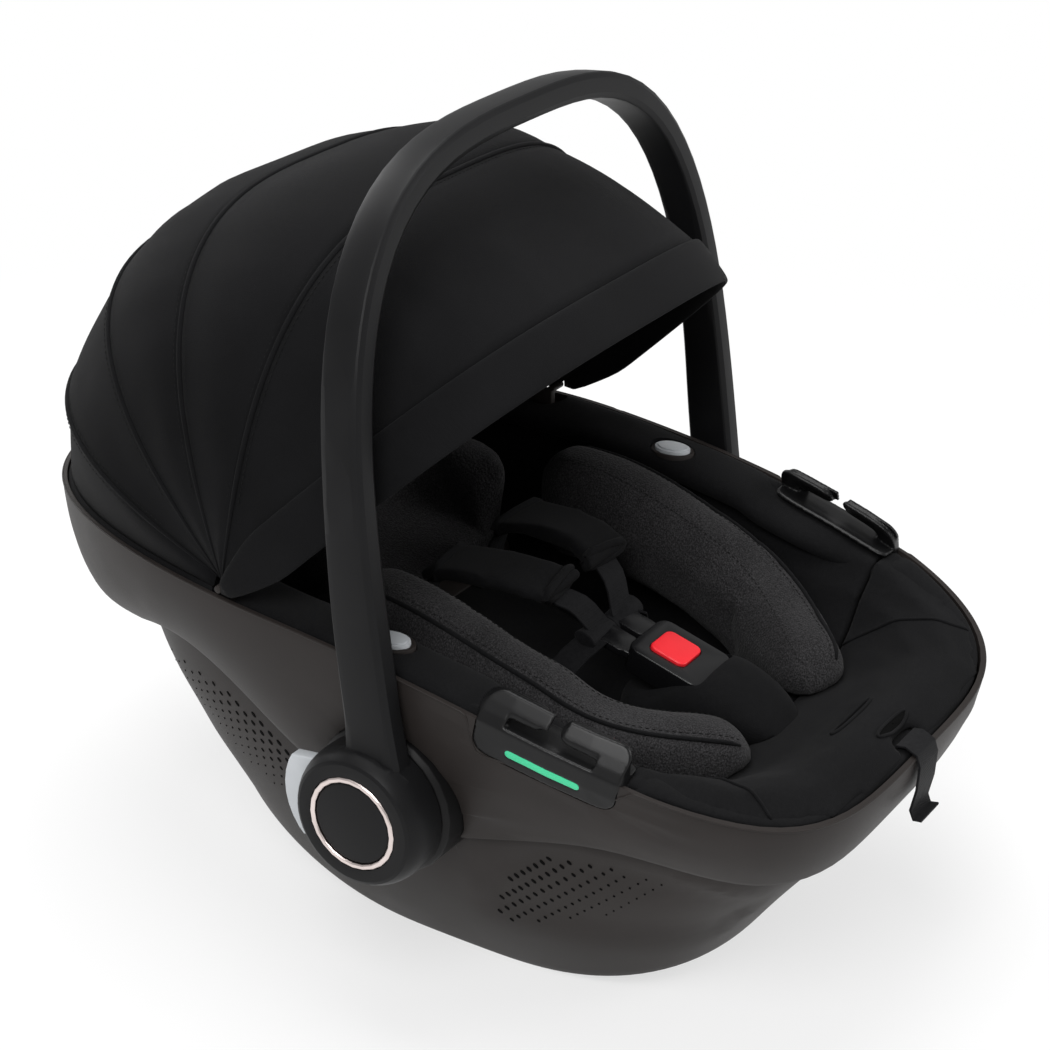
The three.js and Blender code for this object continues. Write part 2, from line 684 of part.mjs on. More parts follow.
function handleArch() {
  const path = handlePath();
  const lean = radians(HANDLE_LEAN);
  const up = new THREE.Vector3(0, Math.sin(lean), Math.cos(lean));
  const across = new THREE.Vector3(0, Math.cos(lean), -Math.sin(lean));
  const rows = path.map((point, k) => {
    const before = path[Math.max(k - 1, 0)];
    const after = path[Math.min(k + 1, path.length - 1)];
    const tangent = after.clone().sub(before).normalize();
    const normal = new THREE.Vector2(tangent.y, -tangent.x);
    const share = smooth(point.y, HANDLE_STRAIGHT, HANDLE_REACH);
    const thickness = mix(ARM_THICKNESS, BAR_THICKNESS, share);
    const flare = HANDLE_FLARE * (1 - Math.min(1, point.y / HANDLE_STRAIGHT)) ** 2;
    const width = mix(ARM_WIDTH, GRIP_WIDTH, smooth(point.y, HANDLE_STRAIGHT, HANDLE_REACH * 0.6));
    const middle = HANDLE_FRONT + width / 2 + flare / 4;
    return handleSection(thickness, width + flare).map(([out, wide]) => {
      const place = point.clone().addScaledVector(normal, out - thickness / 2);
      return new THREE.Vector3(place.x, 0, HUB_HEIGHT)
        .addScaledVector(up, place.y)
        .addScaledVector(across, wide + middle)
        .toArray();
    });
  });
  return loft(rows);
}

function hubDrum() {
  const seat = RING_RADIUS + GAP;
  const bore = AXLE_RADIUS + RUNNING_GAP / 2;
  const boreEnd = HANDLE_INNER + AXLE_REACH + 1;
  return turnedAboutHub([
    [0, boreEnd],
    [bore, boreEnd],
    [bore, HANDLE_INNER],
    [HUB_RADIUS - 1, HANDLE_INNER],
    [HUB_RADIUS, HANDLE_INNER + 1],
    [HUB_RADIUS, HUB_FACE - 14],
    [HUB_RADIUS - 2, HUB_FACE - 6],
    [HUB_FACE_RADIUS + 2, HUB_FACE - 1],
    [HUB_FACE_RADIUS, HUB_FACE],
    [seat, HUB_FACE],
    [seat, HUB_FACE - RING_DEPTH],
    [0, HUB_FACE - RING_DEPTH],
  ]);
}

function handle() {
  const bore = barAlongX(AXLE_RADIUS + RUNNING_GAP / 2, HANDLE_INNER - 5,
    HANDLE_INNER + AXLE_REACH + 1, 0, HUB_HEIGHT, 24);
  const face = barAlongX(RING_RADIUS + GAP, HUB_FACE - RING_DEPTH, BEYOND, 0, HUB_HEIGHT, 24);
  const trimmed = cut(handleArch(), ...bothSides(bore), ...bothSides(face));
  return join(trimmed, ...bothSides(hubDrum()));
}

function hubRing() {
  const back = HUB_FACE - RING_DEPTH + GAP;
  const front = HUB_FACE + RING_PROUD;
  const inner = RING_RADIUS - RING_WIDTH;
  return turnedAboutHub([
    [inner, back], [RING_RADIUS, back], [RING_RADIUS, front - RING_PROUD],
    [RING_RADIUS - RING_PROUD, front], [inner + RING_PROUD, front], [inner, front - RING_PROUD],
    [inner, back],
  ]);
}

function hubCap() {
  const back = HUB_FACE - RING_DEPTH + GAP;
  const radius = RING_RADIUS - RING_WIDTH - GAP;
  return turnedAboutHub([
    [0, back], [radius, back], [radius, HUB_FACE - 1], [radius - 1, HUB_FACE - 0.2],
    [0, HUB_FACE + 0.4],
  ]);
}

function handleMount() {
  const face = HANDLE_INNER - RUNNING_GAP;
  return turnedAboutHub([
    [0, MOUNT_INNER], [MOUNT_RADIUS, MOUNT_INNER], [MOUNT_RADIUS, face - 3],
    [MOUNT_RADIUS - 3, face], [AXLE_RADIUS, face],
    [AXLE_RADIUS, HANDLE_INNER + AXLE_REACH - 1], [AXLE_RADIUS - 1, HANDLE_INNER + AXLE_REACH],
    [0, HANDLE_INNER + AXLE_REACH],
  ]);
}

function releaseButton() {
  const back = HANDLE_INNER + RELEASE_TRAVEL;
  const front = back + RELEASE_THICKNESS;
  const disc = barAlongX(HUB_RADIUS, back, front, RELEASE_OFFSET, 0, 36);
  const hub = barAlongX(HUB_RADIUS + GAP, back - 5, front + 5, 0, 0, 36);
  const band = block(
    [back - 5, 0, -RELEASE_HALF_HEIGHT],
    [front + 5, 2 * HUB_RADIUS, RELEASE_HALF_HEIGHT],
  );
  const crescent = cut(keep(disc, band), hub);
  crescent.rotateX(radians(RELEASE_TURN));
  crescent.translate(0, 0, HUB_HEIGHT);
  return crescent;
}

// ---------------------------------------------------------------- buttons on the rim

function ovalPost(grow, low, high) {
  const post = new THREE.CylinderGeometry(1, 1, high - low, 16);
  post.rotateX(Math.PI / 2);
  post.scale(BUTTON_HALF_X + grow, BUTTON_HALF_Y + grow, 1);
  post.translate(BUTTON_X, BUTTON_Y, (low + high) / 2);
  return post;
}

const bezelTop = () => rimHeight(BUTTON_Y) + BEZEL_PROUD;
const bezelBottom = () => bezelTop() - BUTTON_DEPTH - BUTTON_TRAVEL - BEZEL_WALL;

function frameButtonBezel() {
  const well = ovalPost(GAP, bezelBottom() + BEZEL_WALL - GAP, BEYOND);
  return cut(ovalPost(BEZEL_WALL, bezelBottom(), bezelTop()), well);
}

function frameButton() {
  const top = rimHeight(BUTTON_Y) + BUTTON_PROUD;
  const bottom = bezelTop() - BUTTON_DEPTH;
  return join(ovalPost(0, bottom, top - 1), ovalPost(-2, top - 2, top));
}

// ---------------------------------------------------------------- belt guides

const GUIDE_SLOPE = RIM_SLOPE - 2 * RIM_SAG * GUIDE_Y;

// A grid of the guide's face at a depth below its outer surface, and grown along its edges.
function guideGrid(depth, grow) {
  const rows = [];
  const heights = [-GUIDE_DROP - grow, -GUIDE_DROP / 2, 0, GUIDE_RISE * 0.35, GUIDE_RISE * 0.7,
    GUIDE_RISE + grow];
  const half = GUIDE_LENGTH / 2 + grow;
  const steps = 4;
  for (const height of heights) {
    const lean = GUIDE_LEAN * (Math.max(0, height) / GUIDE_RISE) ** 1.2;
    const row = [];
    for (let i = 0; i <= steps; i += 1) {
      const y = GUIDE_Y - half + (2 * half * i) / steps;
      const fall = Math.max(0, -height) / (rimHeight(y) - stepHeight(y));
      const outer = halfWidthAt(shellPlan(fall), y);
      row.push([outer - lean - depth, y, rimHeight(y) + height]);
    }
    rows.push(row);
  }
  return rows;
}

// The guide's outline seen along X, turned to the slope of the rim.
function guideOutline(grow) {
  const shape = roundedRectangle(
    [-GUIDE_LENGTH / 2 - grow, -GUIDE_DROP - grow],
    [GUIDE_LENGTH / 2 + grow, GUIDE_RISE + grow],
    GUIDE_CORNER + grow,
  );
  return onGuideSlope(prismAlongX(shape, 0, BEYOND));
}

function onGuideSlope(geometry) {
  geometry.rotateX(Math.atan(GUIDE_SLOPE));
  geometry.translate(0, GUIDE_Y, rimHeight(GUIDE_Y));
  return geometry;
}

const guideBody = (depth, grow) => keep(
  slab(guideGrid(-grow, 3 + grow), guideGrid(depth + grow, 3 + grow)),
  guideOutline(grow),
);
const guideNotch = () => keep(
  slab(guideGrid(-5, 3), guideGrid(SHELL_WALL + 5, 3)),
  guideOutline(GAP),
);
const guideSeat = () => guideBody(GUIDE_THICKNESS, GAP);

const guideSlot = (halfLength, low, high, from) => onGuideSlope(
  block([from, -halfLength, low], [BEYOND, halfLength, high]),
);

function stripRecess(grow) {
  const shape = roundedRectangle(
    [-STRIP_LENGTH / 2 - grow, -STRIP_DROP - grow],
    [STRIP_LENGTH / 2 + grow, -STRIP_DROP + STRIP_HEIGHT + grow],
    STRIP_HEIGHT / 2 - 0.1,
  );
  return onGuideSlope(prismAlongX(shape, 0, BEYOND));
}

function beltGuide() {
  const recess = keep(slab(guideGrid(-1, 3), guideGrid(STRIP_DEPTH, 3)), stripRecess(GAP));
  return cut(
    guideBody(GUIDE_THICKNESS - GAP, 0),
    guideSlot(SLOT_LENGTH / 2, SLOT_LOW, SLOT_HIGH, 0),
    guideSlot(NOTCH_WIDTH / 2, SLOT_HIGH - 1, BEYOND, 0),
    recess,
  );
}

const beltStrip = () => keep(
  slab(guideGrid(GAP, 3), guideGrid(STRIP_DEPTH - GAP, 3)),
  stripRecess(0),
);

// ---------------------------------------------------------------- canopy

// A point of the canopy: reach is measured from the pivot axis in the plane at the angle,
// and ahead is measured square to that plane, towards the foot end.
function canopyPoint(x, reach, angle, ahead = 0) {
  const a = radians(angle);
  return [
    x,
    PIVOT_Y + reach * Math.cos(a) - ahead * Math.sin(a),
    PIVOT_HEIGHT + reach * Math.sin(a) + ahead * Math.cos(a),
  ];
}

const ARCH_STEPS = 7;

// The arch of a bow as [x, reach] pairs from one side to the other.
function archOf(halfWidth, reach, start = 0) {
  const quarter = quarterCurve(halfWidth, reach, CANOPY_POWER, ARCH_STEPS);
  const right = quarter.map((p) => [p.x, Math.max(p.y, start)]);
  const left = right.slice(0, -1).reverse().map(([x, r]) => [-x, r]);
  return [...right, ...left];
}

// Each bow has a layer of its own with the gore that it carries. The layers lie inside
// one another from the front to the rear, with the last bow's on the outside.
const layerOf = (index) => ({
  half: BAND_HALF_WIDTH - (BOW_ANGLES.length - index) * LAYER_PITCH,
  reach: CANOPY_REACH - (BOW_ANGLES.length - 1 - index) * LAYER_PITCH,
});

const GORE_START = EYE_RADIUS + 4;
const EDGE = BOW_WIDTH / 2 + GAP;   // from the middle of a bow to the gore that it carries

// A gore between two planes. It starts clear of the bow that carries it by the edge, and
// reachAt gives its reach at a share of the way.
function gore(half, from, to, edge, reachAt, steps) {
  const [outer, inner] = [0, GORE_THICKNESS].map((depth) => {
    const grid = [];
    for (let j = 0; j <= steps; j += 1) {
      const share = j / steps;
      grid.push(archOf(half - depth, reachAt(share) - depth, GORE_START).map(([x, reach]) => {
        const first = from + THREE.MathUtils.radToDeg(Math.atan(edge / reach));
        return canopyPoint(x, reach, mix(first, to, share));
      }));
    }
    return grid;
  });
  return slab(outer, inner);
}

// Each of these gores is carried by the bow behind it, and reaches under the bow ahead of it.
function middleGore(index) {
  const { half, reach } = layerOf(index);
  return gore(half, BOW_ANGLES[index], BOW_ANGLES[index + 1] + GORE_OVERLAP, EDGE, () => reach, 4);
}

function frontGore() {
  const { half, reach } = layerOf(BOW_ANGLES.length - 1);
  const reachAt = (share) => mix(reach, CANOPY_REACH + BAND_STAND - LAYER_PITCH, share ** 1.6);
  return gore(half, BOW_ANGLES.at(-1), FRONT_BOW_ANGLE, EDGE, reachAt, 4);
}

// A grid of points moved inwards by its own thickness.
function thickened(grid, depth) {
  const place = (j, i) => new THREE.Vector3(...grid[j][i]);
  return grid.map((row, j) => row.map((point, i) => {
    const along = place(j, Math.min(i + 1, row.length - 1)).sub(place(j, Math.max(i - 1, 0)));
    const up = place(Math.min(j + 1, grid.length - 1), i).sub(place(Math.max(j - 1, 0), i));
    return place(j, i).addScaledVector(along.cross(up).normalize(), depth).toArray();
  }));
}

// The first gore rises from the rim round the head end to the first bow.
function rearGore() {
  const { half, reach } = layerOf(0);
  const upper = archOf(half, reach, GORE_START).map(([x, r]) => {
    const last = BOW_ANGLES[0] - THREE.MathUtils.radToDeg(Math.atan(EDGE / r));
    return new THREE.Vector3(...canopyPoint(x, r, last));
  });
  const plan = inset(RIM, REAR_GORE_SET);
  const lower = upper.map((place) => {
    const along = (place.x / half) * halfWidthAt(plan, PIVOT_Y + GORE_START);
    const back = (1 - (Math.abs(along) / plan.half) ** plan.headPower) ** (1 / plan.headPower);
    const y = Math.max(PIVOT_Y + GORE_START, plan.widest + (plan.head - plan.widest) * back);
    return new THREE.Vector3(along, y, rimHeight(y) + REAR_GORE_LIFT);
  });
  const outer = [];
  for (let j = 0; j <= REAR_GORE_STEPS; j += 1) {
    const share = j / REAR_GORE_STEPS;
    outer.push(lower.map((low, i) => {
      const place = low.clone().lerp(upper[i], share);
      const bulge = Math.sin(Math.PI * share) * (low.distanceTo(upper[i]) / CANOPY_REACH);
      const out = Math.abs(place.x) / half;
      place.y += REAR_GORE_BULGE * bulge * (1 - out);
      place.x += Math.sign(place.x) * REAR_GORE_BULGE * bulge * out;
      return place.toArray();
    }));
  }
  return slab(outer, thickened(outer, GORE_THICKNESS));
}

// A bow: a strip along its arch, with an eye at each end. The strip widens from its eyes.
function bow(half, reach, angle, behind, ahead, taper) {
  const eyeHalf = BOW_WIDTH / 2;
  const side = (points, offset) => points.map(([x, r]) => {
    const share = taper ? smooth(r, 0, taper) : 1;
    return canopyPoint(x, r, angle, Math.sign(offset) * mix(eyeHalf, Math.abs(offset), share));
  });
  const arch = archOf(half, reach);
  const inner = archOf(half - BOW_THICKNESS, reach - BOW_THICKNESS);
  const strip = slab(
    [side(arch, ahead), side(arch, -behind)],
    [side(inner, ahead), side(inner, -behind)],
  );
  const eye = barAlongX(EYE_RADIUS, half - BOW_THICKNESS, half, PIVOT_Y, PIVOT_HEIGHT, 12);
  const hole = barAlongX(PIN_RADIUS + GAP, half - 10, half + 5, PIVOT_Y, PIVOT_HEIGHT, 12);
  return cut(join(strip, ...bothSides(eye)), ...bothSides(hole));
}

function canopyMount() {
  const wallTop = PIVOT_HEIGHT + EYE_RADIUS;
  const bottom = PIVOT_HEIGHT - CANOPY_MOUNT_DEPTH;
  const pin = barAlongX(PIN_RADIUS, CANOPY_MOUNT_X + 1, BAND_HALF_WIDTH + 1, PIVOT_Y,
    PIVOT_HEIGHT, 12);
  const plate = block(
    [CANOPY_MOUNT_X, PIVOT_Y - CANOPY_MOUNT_HALF, bottom],
    [CANOPY_MOUNT_X + CANOPY_MOUNT_WALL, PIVOT_Y + CANOPY_MOUNT_HALF, wallTop],
  );
  const shelfTop = bottom + 12;
  const wallHere = shellHalfWidthAt(PIVOT_Y + CANOPY_MOUNT_HALF, bottom) - SHELL_WALL - FACET_ROOM;
  const foot = block(
    [CANOPY_MOUNT_X, PIVOT_Y - CANOPY_MOUNT_HALF, bottom],
    [wallHere, PIVOT_Y + CANOPY_MOUNT_HALF, shelfTop],
  );
  return join(plate, pin, foot);
}

// ---------------------------------------------------------------- padded insert

// A rounded bar whose section follows a curve, its width level and its top at the curve.
function bolster() {
  const route = new THREE.CatmullRomCurve3([
    new THREE.Vector3(BOLSTER_X - 3, BOLSTER_HEAD_Y, BOLSTER_TOP),
    new THREE.Vector3(BOLSTER_X + 2, BOLSTER_HEAD_Y * 0.2, mix(BOLSTER_TOP, BOLSTER_FOOT_TOP, 0.09)),
    new THREE.Vector3(BOLSTER_X, BOLSTER_FOOT_Y * 0.35, mix(BOLSTER_TOP, BOLSTER_FOOT_TOP, 0.42)),
    new THREE.Vector3(BOLSTER_X - 12, BOLSTER_FOOT_Y * 0.65, mix(BOLSTER_TOP, BOLSTER_FOOT_TOP, 0.74)),
    new THREE.Vector3(BOLSTER_FOOT_X, BOLSTER_FOOT_Y, BOLSTER_FOOT_TOP),
  ]);
  const steps = 12;
  const sides = 12;
  const rows = [];
  for (let k = 0; k <= steps; k += 1) {
    const place = route.getPointAt(k / steps);
    const tangent = route.getTangentAt(k / steps);
    const level = new THREE.Vector3(-tangent.y, tangent.x, 0).normalize();
    const end = Math.min(k, steps - k);
    const size = end === 0 ? 0.62 : 1;
    const row = [];
    for (let i = 0; i < sides; i += 1) {
      const angle = (2 * Math.PI * (i + 0.5)) / sides;
      const c = Math.cos(angle);
      const s = Math.sin(angle);
      const wide = (BOLSTER_WIDTH / 2) * size * Math.sign(c) * Math.abs(c) ** 0.7;
      const tall = (BOLSTER_DEPTH / 2) * size * Math.sign(s) * Math.abs(s) ** 0.7;
      const point = place.clone().addScaledVector(level, wide);
      row.push([point.x, point.y, point.z - BOLSTER_DEPTH / 2 + tall]);
    }
    rows.push(row);
  }
  return loft(rows);
}

const inSeat = (geometry) => keep(geometry, seatSpace());

// A slab that lies on the back and floor of the seat, in the given outline.
function backSlab(halfWidth, footY, headY, low, high, corner) {
  const shape = roundedRectangle([-halfWidth, footY], [halfWidth, headY], corner);
  const outline = shape.getPoints(4).slice(0, -1).map((p) => [p.x, p.y]);
  const middle = (footY + headY) / 2;
  const rows = [
    raised(shrunk(outline, 0.12, middle), (y) => backHeight(y) + low),
    raised(outline, (y) => backHeight(y) + low),
    raised(outline, (y) => backHeight(y) + high),
    raised(shrunk(outline, 0.12, middle), (y) => backHeight(y) + high),
  ];
  return loft(rows);
}

// Height of the cover's face along the straight of the back.
const backHeight = (y) => floorHeight(SEAT_LOW_Y) + (y - SEAT_LOW_Y) * BACK_SLOPE
  + (GAP + COVER_THICKNESS) * Math.sqrt(1 + BACK_SLOPE ** 2);

const PAD_TOP = PAD_THICKNESS + GAP;

function seatPad() {
  const slabBody = backSlab(PAD_HALF_WIDTH, PAD_FOOT_Y, PAD_HEAD_Y, -BEYOND / 8, PAD_TOP, 30);
  return inSeat(slabBody);
}

const headrestLow = () => PAD_TOP + GAP;

function headrestBoard() {
  return backSlab(
    HEADREST_HALF_WIDTH + BOARD_REVEAL,
    HEADREST_FOOT_Y - BOARD_REVEAL,
    HEADREST_HEAD_Y + BOARD_REVEAL,
    headrestLow(),
    headrestLow() + BOARD_THICKNESS,
    34,
  );
}

function headrestPad() {
  const low = headrestLow() + BOARD_THICKNESS + GAP;
  const body = backSlab(
    HEADREST_HALF_WIDTH, HEADREST_FOOT_Y, HEADREST_HEAD_Y, low, low + HEADREST_HEIGHT, 34,
  );
  const hollow = backSlab(
    HEADREST_HALF_WIDTH - HEADREST_WALL,
    HEADREST_FOOT_Y - 2 * HEADREST_WALL,
    HEADREST_HEAD_Y - HEADREST_WALL,
    low + 10,
    low + HEADREST_HEIGHT + 5,
    40,
  );
  return cut(body, hollow);
}

// ---------------------------------------------------------------- harness

const at = (x, y, z) => new THREE.Vector3(x, y, z);

// A ribbon along a route, from a near to a far distance on the side that faces the seat.
// Its width is level. It takes the route from one share of its steps to another.
function ribbon(route, width, near, far, from = 0, to = 1) {
  const last = route.length - 1;
  const run = route[last].clone().sub(route[0]);
  const level = Math.abs(run.x) > Math.abs(run.y) ? at(0, -1, 0) : at(1, 0, 0);
  const rows = route.map((place, k) => {
    const before = route[Math.max(k - 1, 0)];
    const after = route[Math.min(k + 1, route.length - 1)];
    const tangent = after.clone().sub(before).normalize();
    const normal = level.clone().cross(tangent).normalize();
    const corner = (side, rise) => place.clone()
      .addScaledVector(level, side * width / 2)
      .addScaledVector(normal, rise)
      .toArray();
    return [corner(-1, near), corner(1, near), corner(1, far), corner(-1, far)];
  });
  return loft(rows.slice(Math.round(from * last), Math.round(to * last) + 1));
}

// The shoulder strap leaves the back below the headrest, rises and lies on the chest.
function shoulderRoute() {
  const leaves = HEADREST_FOOT_Y - 8;
  const start = at(SHOULDER_X + 4, leaves, backHeight(leaves) + PAD_TOP + 3);
  const end = at(TONGUE_X + 1, tongueEnd().y - 2.6, tongueEnd().z + TONGUE_THICKNESS / 2 + 0.6);
  const onChest = (share, drop) => at(
    mix(start.x, end.x, share ** 4),
    mix(start.y, end.y, share),
    Math.max(start.z, end.z) + CHEST_RISE - drop,
  );
  const rising = start.clone().add(at(-1, -8, 0.7 * (onChest(0, 0).z - start.z)));
  return new THREE.CatmullRomCurve3([
    start, rising, onChest(0.14, 6), onChest(0.4, 0), onChest(0.69, 2), onChest(0.9, 10), end,
  ]).getPoints(SHOULDER_STEPS);
}

const shoulderStrap = () => ribbon(shoulderRoute(), STRAP_WIDTH - 3, 0, STRAP_THICKNESS);

// The pad lies on the strap.
function shoulderPad() {
  const near = -GAP - SHOULDER_PAD_THICKNESS;
  return ribbon(
    shoulderRoute(), SHOULDER_PAD_WIDTH, near, -GAP, SHOULDER_PAD_FROM, SHOULDER_PAD_TO,
  );
}

const TONGUE_X = BUCKLE_HALF_WIDTH - TONGUE_WIDTH / 2 - 0.8;

// Places on the buckle: forward is along its length to the head end, up is square to it.
function onBuckle(geometry) {
  geometry.rotateX(radians(BUCKLE_TILT));
  geometry.translate(0, BUCKLE_Y, BUCKLE_HEIGHT);
  return geometry;
}

function tongueEnd() {
  const reach = BUCKLE_HALF_LENGTH + TONGUE_LENGTH - 8;
  const tilt = radians(BUCKLE_TILT);
  const drop = BUCKLE_THICKNESS / 2;
  return at(
    TONGUE_X,
    BUCKLE_Y + reach * Math.cos(tilt) + drop * Math.sin(tilt),
    BUCKLE_HEIGHT + reach * Math.sin(tilt) - drop * Math.cos(tilt),
  );
}

// A rounded plate lying flat: its outline in (X, Y), from a low to a high Z.
function plate(low, high, radius, bottom, top) {
  const body = new THREE.ExtrudeGeometry(roundedRectangle(low, high, radius), {
    depth: top - bottom, bevelEnabled: false, curveSegments: 4,
  });
  body.translate(0, 0, bottom);
  return body;
}

const tonguePlate = (grow, from, to) => {
  const middle = -BUCKLE_THICKNESS / 2;
  return block(
    [TONGUE_X - TONGUE_WIDTH / 2 + 2 - grow, from, middle - TONGUE_THICKNESS / 2 - grow],
    [TONGUE_X + TONGUE_WIDTH / 2 - 2 + grow, to, middle + TONGUE_THICKNESS / 2 + grow],
  );
};

function buckleBody() {
  const body = plate(
    [-BUCKLE_HALF_WIDTH, -BUCKLE_HALF_LENGTH], [BUCKLE_HALF_WIDTH, BUCKLE_HALF_LENGTH], 8,
    -BUCKLE_THICKNESS, 0,
  );
  const well = plate(
    [-BUCKLE_BUTTON_HALF - GAP, -BUCKLE_BUTTON_HALF + 4 - GAP],
    [BUCKLE_BUTTON_HALF + GAP, BUCKLE_BUTTON_HALF + 4 + GAP],
    5 + GAP,
    -BUCKLE_BUTTON_DEPTH - BUCKLE_BUTTON_TRAVEL,
    5,
  );
  const sockets = bothSides(tonguePlate(GAP, BUCKLE_HALF_LENGTH - TONGUE_SOCKET, BEYOND));
  return onBuckle(cut(body, well, ...sockets));
}

const buckleButton = () => onBuckle(plate(
  [-BUCKLE_BUTTON_HALF, -BUCKLE_BUTTON_HALF + 4],
  [BUCKLE_BUTTON_HALF, BUCKLE_BUTTON_HALF + 4],
  5,
  GAP - BUCKLE_BUTTON_DEPTH,
  BUCKLE_BUTTON_PROUD,
));

function tongue() {
  const blade = tonguePlate(0, BUCKLE_HALF_LENGTH - TONGUE_SOCKET + GAP, BUCKLE_HALF_LENGTH + 6);
  const middle = -BUCKLE_THICKNESS / 2;
  const grip = plate(
    [TONGUE_X - TONGUE_WIDTH / 2, BUCKLE_HALF_LENGTH + GAP],
    [TONGUE_X + TONGUE_WIDTH / 2, BUCKLE_HALF_LENGTH + TONGUE_LENGTH - TONGUE_SOCKET],
    5,
    middle - TONGUE_THICKNESS / 2,
    middle + TONGUE_THICKNESS / 2,
  );
  return onBuckle(join(blade, grip));
}

// The lap strap comes out between the seat pad and the bolster.
function lapStrap() {
  const end = tongueEnd();
  const side = end.x + TONGUE_WIDTH / 2 + 0.8;
  return ribbon([
    at(side, end.y - 4, end.z - STRAP_THICKNESS / 2),
    at(side + 12, end.y + LAP_RUN * 0.1, end.z - LAP_DROP / 6),
    at(side + 28, end.y + LAP_RUN * 0.55, end.z - LAP_DROP * 0.46),
    at(BOLSTER_X - BOLSTER_WIDTH / 2 - 6, end.y + LAP_RUN, end.z - LAP_DROP),
  ], STRAP_WIDTH - 5, 0, STRAP_THICKNESS);
}

function crotchPad() {
  const low = SEAT_LOW_HEIGHT - 30;
  const under = BUCKLE_HEIGHT - BUCKLE_THICKNESS / Math.cos(radians(BUCKLE_TILT)) - GAP;
  const top = (y) => under + Math.min(
    (y - BUCKLE_Y) * Math.tan(radians(BUCKLE_TILT)),
    0,
  ) - 0.6;
  const shape = roundedRectangle(
    [-CROTCH_PAD_HALF, CROTCH_PAD_FOOT_Y], [CROTCH_PAD_HALF, CROTCH_PAD_HEAD_Y], 24,
  );
  const outline = shape.getPoints(4).slice(0, -1).map((p) => [p.x, p.y]);
  const middle = (CROTCH_PAD_FOOT_Y + CROTCH_PAD_HEAD_Y) / 2;
  const body = loft([
    raised(outline, () => low),
    raised(outline, (y) => top(y) - 14),
    raised(shrunk(outline, 0.8, middle), (y) => top(y)),
    raised(shrunk(outline, 0.1, middle), (y) => top(y)),
  ]);
  const slot = block(
    [-STRAP_WIDTH / 2 - GAP, CROTCH_STRAP_Y - STRAP_THICKNESS / 2 - GAP, 0],
    [STRAP_WIDTH / 2 + GAP, CROTCH_STRAP_Y + STRAP_THICKNESS / 2 + GAP, BEYOND],
  );
  return cut(inSeat(body), slot);
}

function crotchStrap() {
  const tilt = Math.tan(radians(BUCKLE_TILT));
  const top = BUCKLE_HEIGHT - BUCKLE_THICKNESS / Math.cos(radians(BUCKLE_TILT))
    + (CROTCH_STRAP_Y - STRAP_THICKNESS / 2 - BUCKLE_Y) * tilt - GAP;
  const strip = block(
    [-STRAP_WIDTH / 2, CROTCH_STRAP_Y - STRAP_THICKNESS / 2, 0],
    [STRAP_WIDTH / 2, CROTCH_STRAP_Y + STRAP_THICKNESS / 2, top],
  );
  return inSeat(strip);
}

function adjusterButton() {
  const bottom = floorHeight(ADJUSTER_Y) - ADJUSTER_DEPTH;
  const button = adjusterPocket(0, bottom);
  const face = hollowOffset(-GAP);
  const below = loft([face[0].map(([x, y]) => [x, y, 0]), ...face]);
  return keep(button, below);
}

// Height of the liner's face along the middle of the foot end.
function footLineHeight(y) {
  const line = HOLLOW.map((row) => row[(3 * PLAN_POINTS) / 4]);
  const k = line.findIndex((point) => point[1] > y);
  const [, y0, z0] = line[k - 1];
  const [, y1, z1] = line[k];
  return mix(z0, z1, (y - y0) / (y1 - y0));
}

// The pull strap comes up through the foot cover, over the rim, and hangs outside.
function pullRoute() {
  const foot = -RIM.foot;
  const edge = rimHeight(foot);
  const off = STRAP_THICKNESS + 1;
  return [
    at(0, foot + 14.5, footLineHeight(foot + 14.5) + 2),
    at(0, foot + 13, edge + 5.5),
    at(0, foot + 7, edge + 6.5),
    at(0, foot - 1, edge + off),
    at(0, foot - off - 1, edge - 5),
    at(0, foot - off, edge - PULL_STRAP_HANG * 0.6),
    at(0, foot - off + 3, edge - PULL_STRAP_HANG),
    at(0, foot - off + 1, edge - PULL_STRAP_HANG - 5),
    at(0, foot - off - 4, edge - PULL_STRAP_HANG - 4),
  ];
}

const pullStrap = () => ribbon(pullRoute(), STRAP_WIDTH, 0, STRAP_THICKNESS);

function pullStrapSlot() {
  return block(
    [-STRAP_WIDTH / 2 - GAP, -RIM.foot + 6, 0],
    [STRAP_WIDTH / 2 + GAP, -RIM.foot + 18, BEYOND],
  );
}

// ---------------------------------------------------------------- assembly

const seat = new THREE.Group();

const PLASTIC = { color: 0x2b2826, roughness: 0.62, metalness: 0 };
const HANDLE_PLASTIC = { color: 0x17171a, roughness: 0.5, metalness: 0 };
const BLACK_FABRIC = { color: 0x0c0c0d, roughness: 0.95, metalness: 0 };
const GREY_FABRIC = { color: 0x303033, roughness: 0.95, metalness: 0 };
const WEBBING = { color: 0x0a0a0b, roughness: 0.8, metalness: 0 };
const LIGHT_PLASTIC = { color: 0xb8babd, roughness: 0.45, metalness: 0 };
const ROSE_METAL = { color: 0xcdb9b2, roughness: 0.25, metalness: 1 };
const STEEL = { color: 0x9a9a9a, roughness: 0.3, metalness: 1 };
const FOAM = { color: 0x1c1c1c, roughness: 0.9, metalness: 0 };
const GREEN = { color: 0x40c88c, roughness: 0.5, metalness: 0 };
const RED = { color: 0xe0202a, roughness: 0.4, metalness: 0 };

function add(name, geometry, finish) {
  const mesh = new THREE.Mesh(geometry, new THREE.MeshStandardMaterial(finish));
  mesh.name = name;
  seat.add(mesh);
}

function addPair(name, geometry, finish) {
  add(`${name}_left`, mirrored(geometry), finish);
  add(`${name}_right`, geometry, finish);
}

